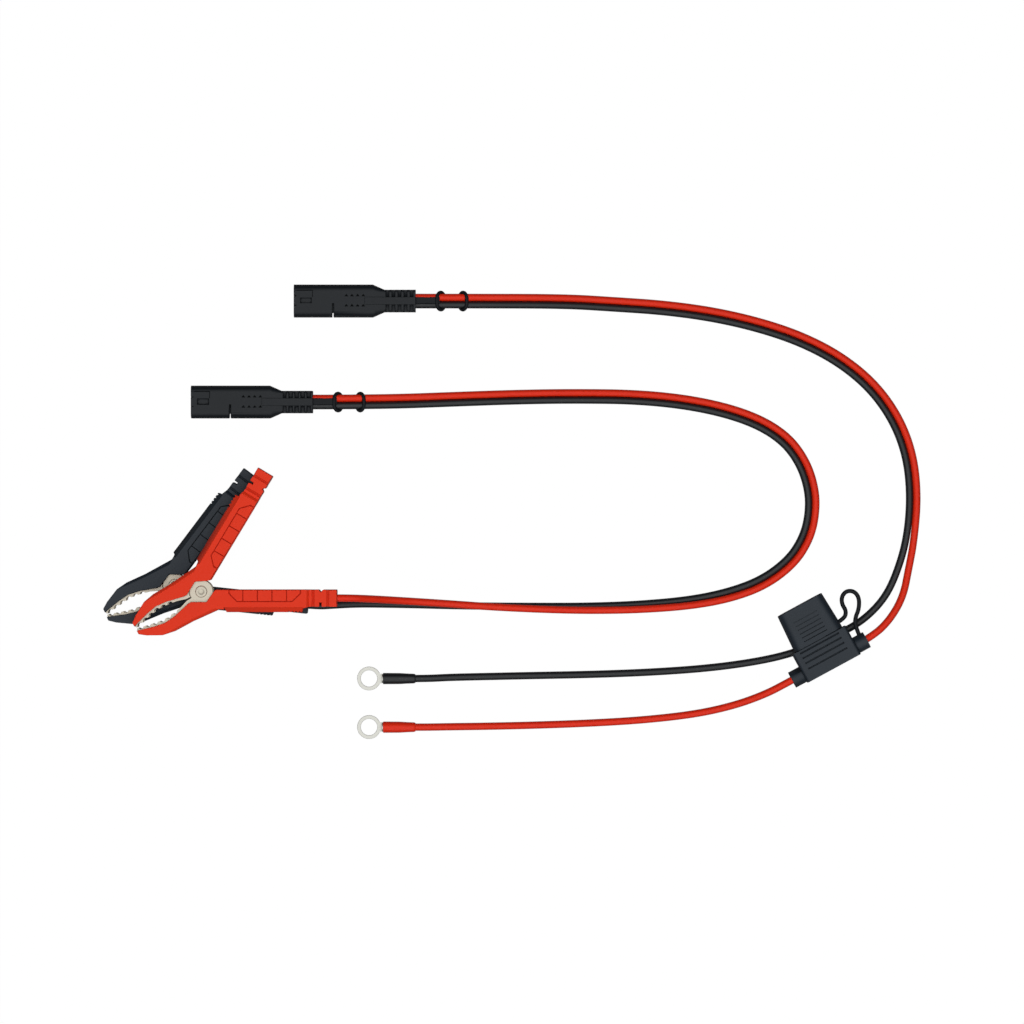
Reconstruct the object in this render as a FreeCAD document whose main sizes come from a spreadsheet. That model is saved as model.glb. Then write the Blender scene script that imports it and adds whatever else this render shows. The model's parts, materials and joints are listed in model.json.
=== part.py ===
import FreeCAD, Part
import Sketcher
import math
import os

# Two low-voltage leads of a car battery charger, in millimetres.
# The clip lead ends in a red and a black battery clamp. The eyelet lead carries a blade-fuse holder
# in its red wire and ends in two ring terminals. Both start at the same moulded two-pole connector.
# X points right and Y up in the plan view, Z up; the floor that the leads lie on is Z = 0.

doc = FreeCAD.newDocument("battery_leads")

# Driving sizes
SIZES = [
    ("wire_dia", 3.8, "one insulated wire"),
    ("twin_gap", 0.22, "between the two wires of a twin"),
    ("fit", 0.3, "clearance between pieces that move past each other"),
    ("seat", 0.05, "clearance round a contact or pin in its hole"),
    # connector
    ("plug_width", 16.8, "connector across its two poles"),
    ("plug_height", 11.8, "connector thickness"),
    ("plug_corner", 3.4, "radius along the connector's long edges"),
    ("plug_barrel", 40.5, "mouth to the start of the taper"),
    ("plug_taper", 6.0, "length of the taper"),
    ("relief_length", 16.0, "strain relief"),
    ("relief_width", 11.5, "strain relief across"),
    ("relief_height", 8.4, "strain relief thickness"),
    ("relief_corner", 1.6, "radius along the strain relief"),
    ("window_pitch", 3.1, "strain relief windows"),
    ("window_length", 2.0, "one window"),
    ("spine_width", 3.9, "solid strip between the two rows of windows"),
    ("mouth_width", 13.2, "mouth across"),
    ("mouth_height", 8.4, "mouth thickness"),
    ("mouth_corner", 2.2, "mouth corner radius"),
    ("mouth_depth", 16.0, "mouth to the back of the insert"),
    ("insert_base", 3.0, "thickness of the insert's base"),
    ("pole_pitch", 6.7, "pin to socket"),
    ("pin_dia", 3.0, "pin"),
    ("pin_reach", 9.5, "pin in front of the insert's base"),
    ("pin_root", 0.4, "how much wider the pin's root in the base is"),
    ("socket_bore", 3.1, "bore of the socket"),
    ("socket_wall", 0.5, "wall of the socket's tube"),
    ("tower_wall", 0.85, "plastic round the socket"),
    ("tower_reach", 8.5, "tower in front of the insert's base"),
    ("latch_slot", 19.6, "mouth to the slit of the latch"),
    ("tongue_width", 3.4, "rubber tongue over the twin"),
    ("tongue_thick", 1.0, "rubber tongue thickness"),
    ("ring_one", 75.4, "mouth to the first rubber ring"),
    ("ring_two", 86.3, "mouth to the second rubber ring"),
    ("ring_cord", 1.4, "section of a rubber ring"),
    ("ring_lean", 24.0, "lean of a rubber ring, degrees"),
    # clamp
    ("grip_width", 18.0, "clamp along its hinge"),
    ("grip_wall", 2.0, "moulded cover wall"),
    ("flank_gap", 0.15, "between the cover's flanks and the steel"),
    ("line_width", 0.5, "moulded line on a cover's flank"),
    ("line_depth", 0.4, "moulded line on a cover's flank"),
    ("grip_facet", 1.3, "facet along a cover's outer edges"),
    ("steel", 1.2, "pressed steel thickness"),
    ("spread", 59.0, "angle between the two handles at rest, degrees"),
    ("handle_reach", 69.0, "hinge to the end of the collar"),
    ("handle_rise", 0.9, "inner edge of a handle above the hinge line"),
    ("handle_depth", 10.5, "outer edge of a handle below the hinge line"),
    ("collar_length", 14.2, "collar at the end of the handle"),
    ("collar_depth", 7.7, "outer edge of the collar below the hinge line"),
    ("wire_line", 3.4, "wire below the hinge line"),
    ("wire_inset", 10.0, "wire inside the collar, from the end of the handle"),
    ("jaw_back", 27.6, "hinge to where the jaw's back starts to taper"),
    ("jaw_drop", 22.3, "jaw's back below the hinge line"),
    ("ear_radius", 5.9, "steel ear round the hinge"),
    ("rivet_dia", 4.0, "hinge rivet shank"),
    ("rivet_head", 6.0, "hinge rivet head"),
    ("rivet_crown", 1.1, "height of a rivet head"),
    ("tooth_pitch", 3.8, "jaw teeth"),
    ("tooth_radius", 1.45, "hollow between two teeth"),
    ("spring_wire", 1.3, "torsion spring wire"),
    ("spring_radius", 3.5, "torsion spring, to the middle of the wire"),
    ("spring_room", 0.55, "torsion spring to the ear on each side"),
    ("crimp_radius", 2.6, "crimp barrel"),
    ("crimp_length", 13.0, "crimp barrel"),
    ("clamp_gap", 0.3, "between the two clamps where one lies on the other"),
    ("red_clamp_x", -145.6, "red hinge"),
    ("red_clamp_y", -40.5, "red hinge"),
    ("red_clamp_turn", 0.0, "red clamp in plan, degrees"),
    ("black_clamp_x", -160.25, "black hinge"),
    ("black_clamp_y", -37.3, "black hinge"),
    ("black_clamp_turn", -6.0, "black clamp in plan, degrees"),
    # fuse holder
    ("holder_length", 31.0, "body along the wire"),
    ("holder_depth", 16.4, "body along the cap's axis"),
    ("holder_thick", 12.5, "body thickness"),
    ("holder_lift", 4.1, "body above the floor, on the black wire"),
    ("holder_turn", 28.5, "wire axis in plan, degrees"),
    ("holder_x", 173.85, "middle of the body"),
    ("holder_y", -72.9, "middle of the body"),
    ("sleeve_radius", 4.4, "collar round the wire"),
    ("sleeve_length", 6.3, "collar round the wire"),
    ("holder_wire", -3.4, "wire axis from the middle of the body"),
    ("neck_length", 23.4, "neck under the cap"),
    ("neck_thick", 7.8, "neck under the cap"),
    ("neck_height", 3.0, "neck under the cap"),
    ("cap_foot", 27.8, "cap length at its foot"),
    ("cap_top", 25.6, "cap length at its top"),
    ("cap_foot_thick", 11.6, "cap thickness at its foot"),
    ("cap_top_thick", 10.6, "cap thickness at its top"),
    ("cap_height", 20.3, "cap"),
    ("cap_wall", 1.4, "cap wall"),
    ("cap_corner", 4.4, "cap corner radius"),
    ("well_length", 20.6, "pocket for the terminals"),
    ("well_thick", 5.8, "pocket for the terminals"),
    ("well_depth", 14.0, "pocket below the body's upper face"),
    ("fuse_width", 19.1, "blade fuse body"),
    ("fuse_thick", 5.1, "blade fuse body"),
    ("fuse_height", 11.2, "blade fuse body"),
    ("fuse_corner", 1.8, "corner radius of the fuse body"),
    ("fuse_brim", 0.25, "head of the fuse beyond its body"),
    ("fuse_head", 3.4, "height of the fuse's head"),
    ("blade_width", 5.2, "fuse blade"),
    ("blade_thick", 0.8, "fuse blade"),
    ("blade_reach", 6.6, "fuse blade below the fuse body"),
    ("blade_pitch", 13.9, "fuse blade to fuse blade"),
    ("strap_dia", 2.2, "rubber strap of the cap"),
    # ring terminals
    ("eye_outer", 12.2, "ring terminal across the ring"),
    ("eye_bore", 8.5, "hole for an 8 mm bolt"),
    ("eye_thick", 1.0, "ring terminal plate"),
    ("tube_start", 7.2, "ring centre to the insulating sleeve"),
    ("tube_length", 16.8, "insulating sleeve"),
    ("tube_mouth", 2.9, "sleeve radius at the ring"),
    ("tube_tail", 2.5, "sleeve radius at the wire"),
    ("barrel_radius", 2.3, "crimp barrel of the ring terminal"),
    ("barrel_end", 17.0, "ring centre to the end of the crimp barrel"),
    ("eye_x", -61.0, "both ring centres"),
    ("black_eye_y", -85.7, "black ring centre"),
    ("red_eye_y", -110.7, "red ring centre"),
    # connectors in plan
    ("clip_plug_x", -152.2, "mouth of the clip lead's connector"),
    ("clip_plug_y", 56.5, "axis of the clip lead's connector"),
    ("eyelet_plug_x", -99.4, "mouth of the eyelet lead's connector"),
    ("eyelet_plug_y", 108.4, "axis of the eyelet lead's connector"),
]

sheet = doc.addObject("Spreadsheet::Sheet", "Sizes")
for row, (word, number, meaning) in enumerate(SIZES, 1):
    sheet.set(f"A{row}", word)
    sheet.set(f"B{row}", str(number))
    sheet.set(f"C{row}", meaning)
    sheet.setAlias(f"B{row}", word)
doc.recompute()


class Size:
    """A length or angle worked out from the sheet: its number and the expression that ties it."""

    def __init__(self, number, text):
        self.number = number
        self.text = text

    def join(self, sign, other, number):
        return Size(number, f"({self.text} {sign} {words(other)})")

    def __add__(self, other):
        return self.join("+", other, self.number + plain(other))

    def __radd__(self, other):
        return self + other

    def __sub__(self, other):
        return self.join("-", other, self.number - plain(other))

    def __rsub__(self, other):
        return Size(plain(other) - self.number, f"({words(other)} - {self.text})")

    def __mul__(self, other):
        return self.join("*", other, self.number * plain(other))

    def __rmul__(self, other):
        return self * other

    def __truediv__(self, other):
        return self.join("/", other, self.number / plain(other))

    def __neg__(self):
        return Size(-self.number, f"(0 - {self.text})")


def plain(value):
    return value.number if isinstance(value, Size) else float(value)


def words(value):
    return value.text if isinstance(value, Size) else f"({value:.9g})"


class Named:
    """Every named size of the sheet, as an attribute."""


s = Named()
for word, number, meaning in SIZES:
    setattr(s, word, Size(float(sheet.get(word)), f"Sizes.{word}"))


def tie(thing, path, value):
    thing.setExpression(path, words(value))


# Sketches and features

def new_body(label):
    body = doc.addObject("PartDesign::Body", label)
    body.Label = label
    return body


def sketch_on(body, role, shift=0):
    plane = [f for f in body.Origin.OriginFeatures if f.Role == role][0]
    sketch = body.newObject("Sketcher::SketchObject", body.Name + "_sketch")
    sketch.AttachmentSupport = [(plane, "")]
    sketch.MapMode = "FlatFace"
    tie(sketch, "AttachmentOffset.Base.z", shift)
    return sketch


def pin_down(sketch, curve, end, x, y):
    for axis, value in (("X", x), ("Y", y)):
        place = sketch.addConstraint(
            Sketcher.Constraint("Distance" + axis, -1, 1, curve, end, plain(value)))
        if isinstance(value, Size):
            sketch.setExpression(f"Constraints[{place}]", value.text)


def polygon(sketch, corners):
    """A closed outline of straight edges, each corner held by its own two distances."""
    curves = []
    for here, there in zip(corners, corners[1:] + corners[:1]):
        start = FreeCAD.Vector(plain(here[0]), plain(here[1]), 0)
        stop = FreeCAD.Vector(plain(there[0]), plain(there[1]), 0)
        curves.append(sketch.addGeometry(Part.LineSegment(start, stop)))
    for one, two in zip(curves, curves[1:] + curves[:1]):
        sketch.addConstraint(Sketcher.Constraint("Coincident", one, 2, two, 1))
    for curve, (x, y) in zip(curves, corners):
        pin_down(sketch, curve, 1, x, y)


def circle(sketch, x, y, radius):
    middle = FreeCAD.Vector(plain(x), plain(y), 0)
    up = FreeCAD.Vector(0, 0, 1)
    curve = sketch.addGeometry(Part.Circle(middle, up, plain(radius)))
    pin_down(sketch, curve, 3, x, y)
    place = sketch.addConstraint(Sketcher.Constraint("Radius", curve, plain(radius)))
    tie(sketch, f"Constraints[{place}]", radius)


def rectangle(sketch, x0, y0, x1, y1):
    polygon(sketch, [(x0, y0), (x1, y0), (x1, y1), (x0, y1)])


def rounded(sketch, x, y, wide, high, corner):
    """A rectangle with rounded corners, about the point x, y."""
    a, b, r = plain(wide) / 2, plain(high) / 2, plain(corner)
    cx, cy = plain(x), plain(y)
    at = FreeCAD.Vector
    up = at(0, 0, 1)
    turns = [(cx + a - r, cy - b + r, -90), (cx + a - r, cy + b - r, 0),
             (cx - a + r, cy + b - r, 90), (cx - a + r, cy - b + r, 180)]
    arcs = []
    for mx, my, first in turns:
        full = Part.Circle(at(mx, my, 0), up, r)
        arcs.append(sketch.addGeometry(
            Part.ArcOfCircle(full, math.radians(first), math.radians(first + 90))))
    sides = []
    for k in range(4):
        start = sketch.getPoint(arcs[k], 2)
        stop = sketch.getPoint(arcs[(k + 1) % 4], 1)
        sides.append(sketch.addGeometry(Part.LineSegment(start, stop)))
    for k in range(4):
        sketch.addConstraint(Sketcher.Constraint("Tangent", arcs[k], 2, sides[k], 1))
        sketch.addConstraint(Sketcher.Constraint("Tangent", sides[k], 2, arcs[(k + 1) % 4], 1))
    for k in (1, 2, 3):
        sketch.addConstraint(Sketcher.Constraint("Equal", arcs[0], arcs[k]))
    sketch.addConstraint(Sketcher.Constraint("Horizontal", sides[0 + 1]))
    sketch.addConstraint(Sketcher.Constraint("Vertical", sides[0]))
    place = sketch.addConstraint(Sketcher.Constraint("Radius", arcs[0], r))
    tie(sketch, f"Constraints[{place}]", corner)
    right = sketch.addConstraint(Sketcher.Constraint("DistanceX", -1, 1, sides[0], 1, cx + a))
    left = sketch.addConstraint(Sketcher.Constraint("DistanceX", -1, 1, sides[2], 1, cx - a))
    top = sketch.addConstraint(Sketcher.Constraint("DistanceY", -1, 1, sides[1], 1, cy + b))
    foot = sketch.addConstraint(Sketcher.Constraint("DistanceY", -1, 1, sides[3], 1, cy - b))
    tie(sketch, f"Constraints[{right}]", x + wide / 2)
    tie(sketch, f"Constraints[{left}]", x - wide / 2)
    tie(sketch, f"Constraints[{top}]", y + high / 2)
    tie(sketch, f"Constraints[{foot}]", y - high / 2)


def worked(*things):
    """Works out new things at once, in order."""
    for thing in things:
        thing.recompute()


def pad(body, sketch, length):
    feature = body.newObject("PartDesign::Pad", body.Name + "_pad")
    feature.Profile = sketch
    tie(feature, "Length", length)
    return feature


def pocket(body, sketch, depth, along=True):
    """Cuts along the sketch's normal, or against it."""
    feature = body.newObject("PartDesign::Pocket", body.Name + "_pocket")
    feature.Profile = sketch
    feature.Reversed = along
    tie(feature, "Length", depth)
    return feature


def edges_where(feature, test):
    found = []
    for place, edge in enumerate(feature.Shape.Edges, 1):
        ends = [v.Point for v in edge.Vertexes]
        if len(ends) == 2 and test(ends[0], ends[1]):
            found.append(f"Edge{place}")
    return found


def bevel(body, base, test, size):
    """A chamfer along the edges that pass the test."""
    worked(base.Profile[0], base)
    names = edges_where(base, test)
    if not names:
        raise RuntimeError(f"no edge to bevel on {body.Label}")
    feature = body.newObject("PartDesign::Chamfer", body.Name + "_bevel")
    feature.Base = (base, names)
    tie(feature, "Size", size)
    return feature


def place(thing, x, y, z, turn):
    thing.Placement = FreeCAD.Placement(
        FreeCAD.Vector(plain(x), plain(y), plain(z)),
        FreeCAD.Rotation(FreeCAD.Vector(0, 0, 1), plain(turn)))
    tie(thing, "Placement.Base.x", x)
    tie(thing, "Placement.Base.y", y)
    tie(thing, "Placement.Base.z", z)
    tie(thing, "Placement.Rotation.Angle", turn)
    return thing


def inset(corners, depth):
    """The corners of an open chain moved to its left by the depth, with the chain's own bends."""
    points = [(plain(x), plain(y)) for x, y in corners]
    normals = []
    for (ax, ay), (bx, by) in zip(points, points[1:]):
        span = math.hypot(bx - ax, by - ay)
        normals.append(((ay - by) / span, (bx - ax) / span))
    moved = []
    for k, (x, y) in enumerate(corners):
        first = normals[max(k - 1, 0)]
        second = normals[min(k, len(normals) - 1)]
        shared = 1 + first[0] * second[0] + first[1] * second[1]
        moved.append((x + depth * ((first[0] + second[0]) / shared),
                      y + depth * ((first[1] + second[1]) / shared)))
    return moved


# Wires

def tube_path(corners):
    """Straight runs joined by tangent arcs, and the radii of those arcs."""
    points = [FreeCAD.Vector(*[plain(v) for v in corner]) for corner in corners]
    count = len(points)
    stops = {0: (points[0], None, points[0]), count - 1: (points[-1], None, points[-1])}
    radii = []
    for k in range(1, count - 1):
        back = points[k - 1] - points[k]
        ahead = points[k + 1] - points[k]
        turn = math.pi - back.getAngle(ahead)
        reach = 0.45 * min(back.Length, ahead.Length)
        radii.append(reach / math.tan(turn / 2))
        back.normalize()
        ahead.normalize()
        start = points[k] + back * reach
        stop = points[k] + ahead * reach
        inward = back + ahead
        inward.normalize()
        middle = points[k] + inward * (radii[-1] / math.cos(turn / 2) - radii[-1])
        stops[k] = (start, middle, stop)
    edges = []
    for k in range(1, count):
        edges.append(Part.LineSegment(stops[k - 1][2], stops[k][0]).toShape())
        if stops[k][1]:
            edges.append(Part.Arc(*stops[k]).toShape())
    return Part.Wire(edges), radii


def tube(label, corners, diameter):
    """A round tube along the route; its volume is compared with section times length."""
    wire, radii = tube_path(corners)
    path = doc.addObject("Part::Feature", label + "_route")
    path.Shape = wire
    section = doc.addObject("Part::Circle", label + "_section")
    tie(section, "Radius", diameter / 2)
    first = FreeCAD.Vector(*[plain(v) for v in corners[0]])
    second = FreeCAD.Vector(*[plain(v) for v in corners[1]])
    section.Placement = FreeCAD.Placement(
        first, FreeCAD.Rotation(FreeCAD.Vector(0, 0, 1), second - first))
    sweep = doc.addObject("Part::Sweep", label)
    sweep.Label = label
    sweep.Sections = [section]
    sweep.Spine = (path, [])
    sweep.Solid = True
    sweep.Frenet = False
    worked(section, sweep)
    ideal = math.pi * plain(diameter) ** 2 / 4 * wire.Length
    print(f"{label}: {wire.Length:.1f} mm long, smallest radius {min(radii):.1f},"
          f" volume {sweep.Shape.Volume / ideal:.4f} of section times length")
    return sweep


def twin(route, pitch):
    """Two parallel routes from one: each point holds x, y, the lower wire's height and the roll.

    The roll is 0 where the first wire lies to the left of the second and 90 where it lies on it.
    """
    left_route = []
    right_route = []
    for k, (x, y, height, roll) in enumerate(route):
        before = route[max(k - 1, 0)]
        after = route[min(k + 1, len(route) - 1)]
        one = math.atan2(y - before[1], x - before[0]) if k else None
        two = math.atan2(after[1] - y, after[0] - x) if k < len(route) - 1 else None
        one = two if one is None else one
        two = one if two is None else two
        half_turn = (two - one + math.pi) % (2 * math.pi) / 2 - math.pi / 2
        across = one + half_turn + math.pi / 2
        side = pitch / 2 * math.cos(math.radians(roll)) / math.cos(half_turn)
        rise = pitch * math.sin(math.radians(roll))
        left_route.append((x + side * math.cos(across), y + side * math.sin(across), height + rise))
        right_route.append((x - side * math.cos(across), y - side * math.sin(across), height))
    return left_route, right_route


# Connector, in its own frame: the mouth at X = 0, the wires leaving along +X, Z = 0 in the middle

def connector(lead, at_x, at_y):
    lift = s.plug_height / 2
    pitch = s.wire_dia + s.twin_gap
    relief_start = s.plug_barrel + s.plug_taper
    plug_length = relief_start + s.relief_length

    # housing: barrel, taper and strain relief
    body = new_body(lead + "_plug_housing")
    barrel = sketch_on(body, "YZ_Plane")
    rounded(barrel, 0, 0, s.plug_width, s.plug_height, s.plug_corner)
    pad(body, barrel, s.plug_barrel)
    wide_end = sketch_on(body, "YZ_Plane", s.plug_barrel)
    rounded(wide_end, 0, 0, s.plug_width, s.plug_height, s.plug_corner)
    narrow_end = sketch_on(body, "YZ_Plane", relief_start)
    rounded(narrow_end, 0, 0, s.relief_width, s.relief_height, s.relief_corner)
    taper = body.newObject("PartDesign::AdditiveLoft", body.Name + "_taper")
    taper.Profile = wide_end
    taper.Sections = [narrow_end]
    taper.Ruled = True
    relief = sketch_on(body, "YZ_Plane", relief_start)
    rounded(relief, 0, 0, s.relief_width, s.relief_height, s.relief_corner)
    pad(body, relief, s.relief_length)

    # mouth for the mating plug
    mouth = sketch_on(body, "YZ_Plane")
    rounded(mouth, 0, 0, s.mouth_width, s.mouth_height, s.mouth_corner)
    pocket(body, mouth, s.mouth_depth)

    # windows of the strain relief, five on each side of the spine, down to the wires
    window_floor = s.wire_dia / 2
    edge = s.relief_width / 2 + 1
    for up in (True, False):
        level = window_floor if up else -window_floor
        for side in (1, -1):
            first = sketch_on(body, "XY_Plane", level)
            start = relief_start + (s.window_pitch - s.window_length) / 2
            rectangle(first, start, side * (s.spine_width / 2), start + s.window_length, side * edge)
            cut = pocket(body, first, s.relief_height, along=up)
            rows = body.newObject("PartDesign::LinearPattern", body.Name + "_windows")
            rows.Originals = [cut]
            rows.Direction = ([f for f in body.Origin.OriginFeatures if f.Role == "X_Axis"][0], [""])
            rows.Occurrences = 5
            rows.Length = plain(s.window_pitch * 4)
            tie(rows, "Length", s.window_pitch * 4)
            body.Tip = rows

    # wires' holes in the strain relief
    holes = sketch_on(body, "YZ_Plane", plug_length - 8)
    circle(holes, pitch / 2, 0, s.wire_dia / 2)
    circle(holes, -(pitch / 2), 0, s.wire_dia / 2)
    pocket(body, holes, s.relief_length)

    # latch: a slit across the lower half, open at the edge, and a shallow recess by the mouth
    slit = sketch_on(body, "XY_Plane", s.mouth_height / 2 + 0.5)
    rectangle(slit, s.latch_slot, -1.3, s.latch_slot + 1.2, -(s.plug_width / 2 + 1))
    pocket(body, slit, s.plug_height)
    notch = sketch_on(body, "XY_Plane", -(s.plug_height / 2) - 1)
    rectangle(notch, s.latch_slot, -(s.mouth_width / 2) + 0.6, s.latch_slot + 0.8,
              -(s.plug_width / 2 + 1))
    pocket(body, notch, s.plug_height + 2)
    recess = sketch_on(body, "XY_Plane", s.plug_height / 2 - 0.6)
    rectangle(recess, 3.3, -1.3, 9.3, 1.6)
    pocket(body, recess, s.plug_height)

    # two rows of small moulded arrowheads
    arrows = sketch_on(body, "XY_Plane", s.plug_height / 2 - 0.25)
    for row in (-2.35, 2.85):
        for count in range(4):
            tip = 27.0 + 2.9 * count
            polygon(arrows, [(tip - 0.6, row - 0.5), (tip + 0.6, row - 0.5), (tip, row + 0.6)])
    pocket(body, arrows, s.plug_height)
    place(body, at_x, at_y, lift, 0)

    # insert with a tower round the socket
    base_front = s.mouth_depth - s.insert_base
    pole = s.pole_pitch / 2
    tower_radius = s.socket_bore / 2 + s.socket_wall + s.tower_wall
    insert = new_body(lead + "_plug_insert")
    base = sketch_on(insert, "YZ_Plane", base_front)
    rounded(base, 0, 0, s.mouth_width, s.mouth_height, s.mouth_corner)
    pad(insert, base, s.insert_base)
    tower = sketch_on(insert, "YZ_Plane", base_front - s.tower_reach)
    circle(tower, pole, 0, tower_radius)
    pad(insert, tower, s.tower_reach)
    holes = sketch_on(insert, "YZ_Plane", base_front - s.tower_reach)
    circle(holes, pole, 0, s.socket_bore / 2 + s.socket_wall + s.seat)
    circle(holes, -pole, 0, s.pin_dia / 2 + s.pin_root + s.seat)
    pocket(insert, holes, s.mouth_depth)
    place(insert, at_x, at_y, lift, 0)

    # pin with a rounded tip, and the socket's tube
    pin = new_body(lead + "_plug_pin")
    half = sketch_on(pin, "XY_Plane")
    tip = base_front - s.pin_reach
    radius = s.pin_dia / 2
    polygon(half, [(tip, 0), (tip, radius * 0.5), (tip + 0.3, radius * 0.8), (tip + 0.9, radius),
                   (base_front, radius), (base_front, radius + s.pin_root),
                   (s.mouth_depth, radius + s.pin_root), (s.mouth_depth, 0)])
    turned(pin, half)
    place(pin, at_x, at_y - pole, lift, 0)
    socket = new_body(lead + "_plug_socket")
    outer = s.socket_bore / 2 + s.socket_wall
    half = sketch_on(socket, "XY_Plane")
    polygon(half, [(base_front - s.tower_reach + 0.3, s.socket_bore / 2),
                   (base_front - s.tower_reach + 0.3, outer), (s.mouth_depth, outer),
                   (s.mouth_depth, 0), (s.mouth_depth - 1.5, 0), (s.mouth_depth - 1.5, s.socket_bore / 2)])
    turned(socket, half)
    place(socket, at_x, at_y + pole, lift, 0)

    # rubber rings, leaning apart; the first hangs on a tongue from the strain relief
    inner = s.wire_dia / 2 + 0.5
    flat = 0.05
    bend = inner + s.ring_cord / 2
    half_width = pitch / 2 + s.wire_dia / 2 + 0.12 + s.ring_cord / 2
    tongue_top = s.wire_dia / 2 + 0.1 + s.tongue_thick
    for label, along, lean in ((lead + "_twin_ring_first", s.ring_one, -1),
                               (lead + "_twin_ring_second", s.ring_two, 1)):
        ring = new_body(label)
        plane = sketch_on(ring, "YZ_Plane", along)
        plane.AttachmentOffset = FreeCAD.Placement(
            FreeCAD.Vector(0, 0, plain(along)),
            FreeCAD.Rotation(FreeCAD.Vector(1, 0, 0), plain(s.ring_lean) * lean))
        tie(plane, "AttachmentOffset.Base.z", along)
        tie(plane, "AttachmentOffset.Rotation.Angle", s.ring_lean * lean)
        rounded(plane, 0, 0, half_width * 2 + s.ring_cord, bend * 2 + s.ring_cord,
                bend + s.ring_cord / 2 - flat)
        rounded(plane, 0, 0, half_width * 2 - s.ring_cord, bend * 2 - s.ring_cord,
                bend - s.ring_cord / 2 - flat)
        band = pad(ring, plane, s.ring_cord)
        band.Midplane = True
        if lean < 0:
            tongue = sketch_on(ring, "XY_Plane", s.wire_dia / 2 + 0.1)
            rectangle(tongue, plug_length, -(s.tongue_width / 2) + 0.3, along - 0.6,
                      s.tongue_width / 2 + 0.3)
            pad(ring, tongue, s.tongue_thick)
        place(ring, at_x, at_y, lift, 0)


def turned(body, sketch):
    """A full turn of the sketch about its own X axis."""
    feature = body.newObject("PartDesign::Revolution", body.Name + "_turned")
    feature.Profile = sketch
    feature.ReferenceAxis = (sketch, ["H_Axis"])
    feature.Angle = 360
    return feature


# Clamp, in its own frame: the hinge along Z through the origin, one handle along +X.
# Each half is the same moulding and pressing, the second one mirrored and turned by the spread.

collar_start = s.handle_reach - s.collar_length
wire_stop = s.handle_reach - s.wire_inset
flank = s.grip_wall + s.flank_gap
nested_flange = s.steel + s.seat * 2

def back_of_half(side):
    """The outer edge of a half from the collar, along the handle and the jaw, to the tip."""
    chain = [(collar_start - 3.7, -s.handle_depth), (s.wire_line + 9.6, -s.handle_depth),
             (8.9, -8.8), (-4.5, -15.3), (-16.5, -s.jaw_drop + 0.4), (-s.jaw_back, -s.jaw_drop),
             (-s.jaw_back - 5.28, -s.jaw_drop + 0.755)]
    return [(x, y * side) for x, y in chain]


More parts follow.
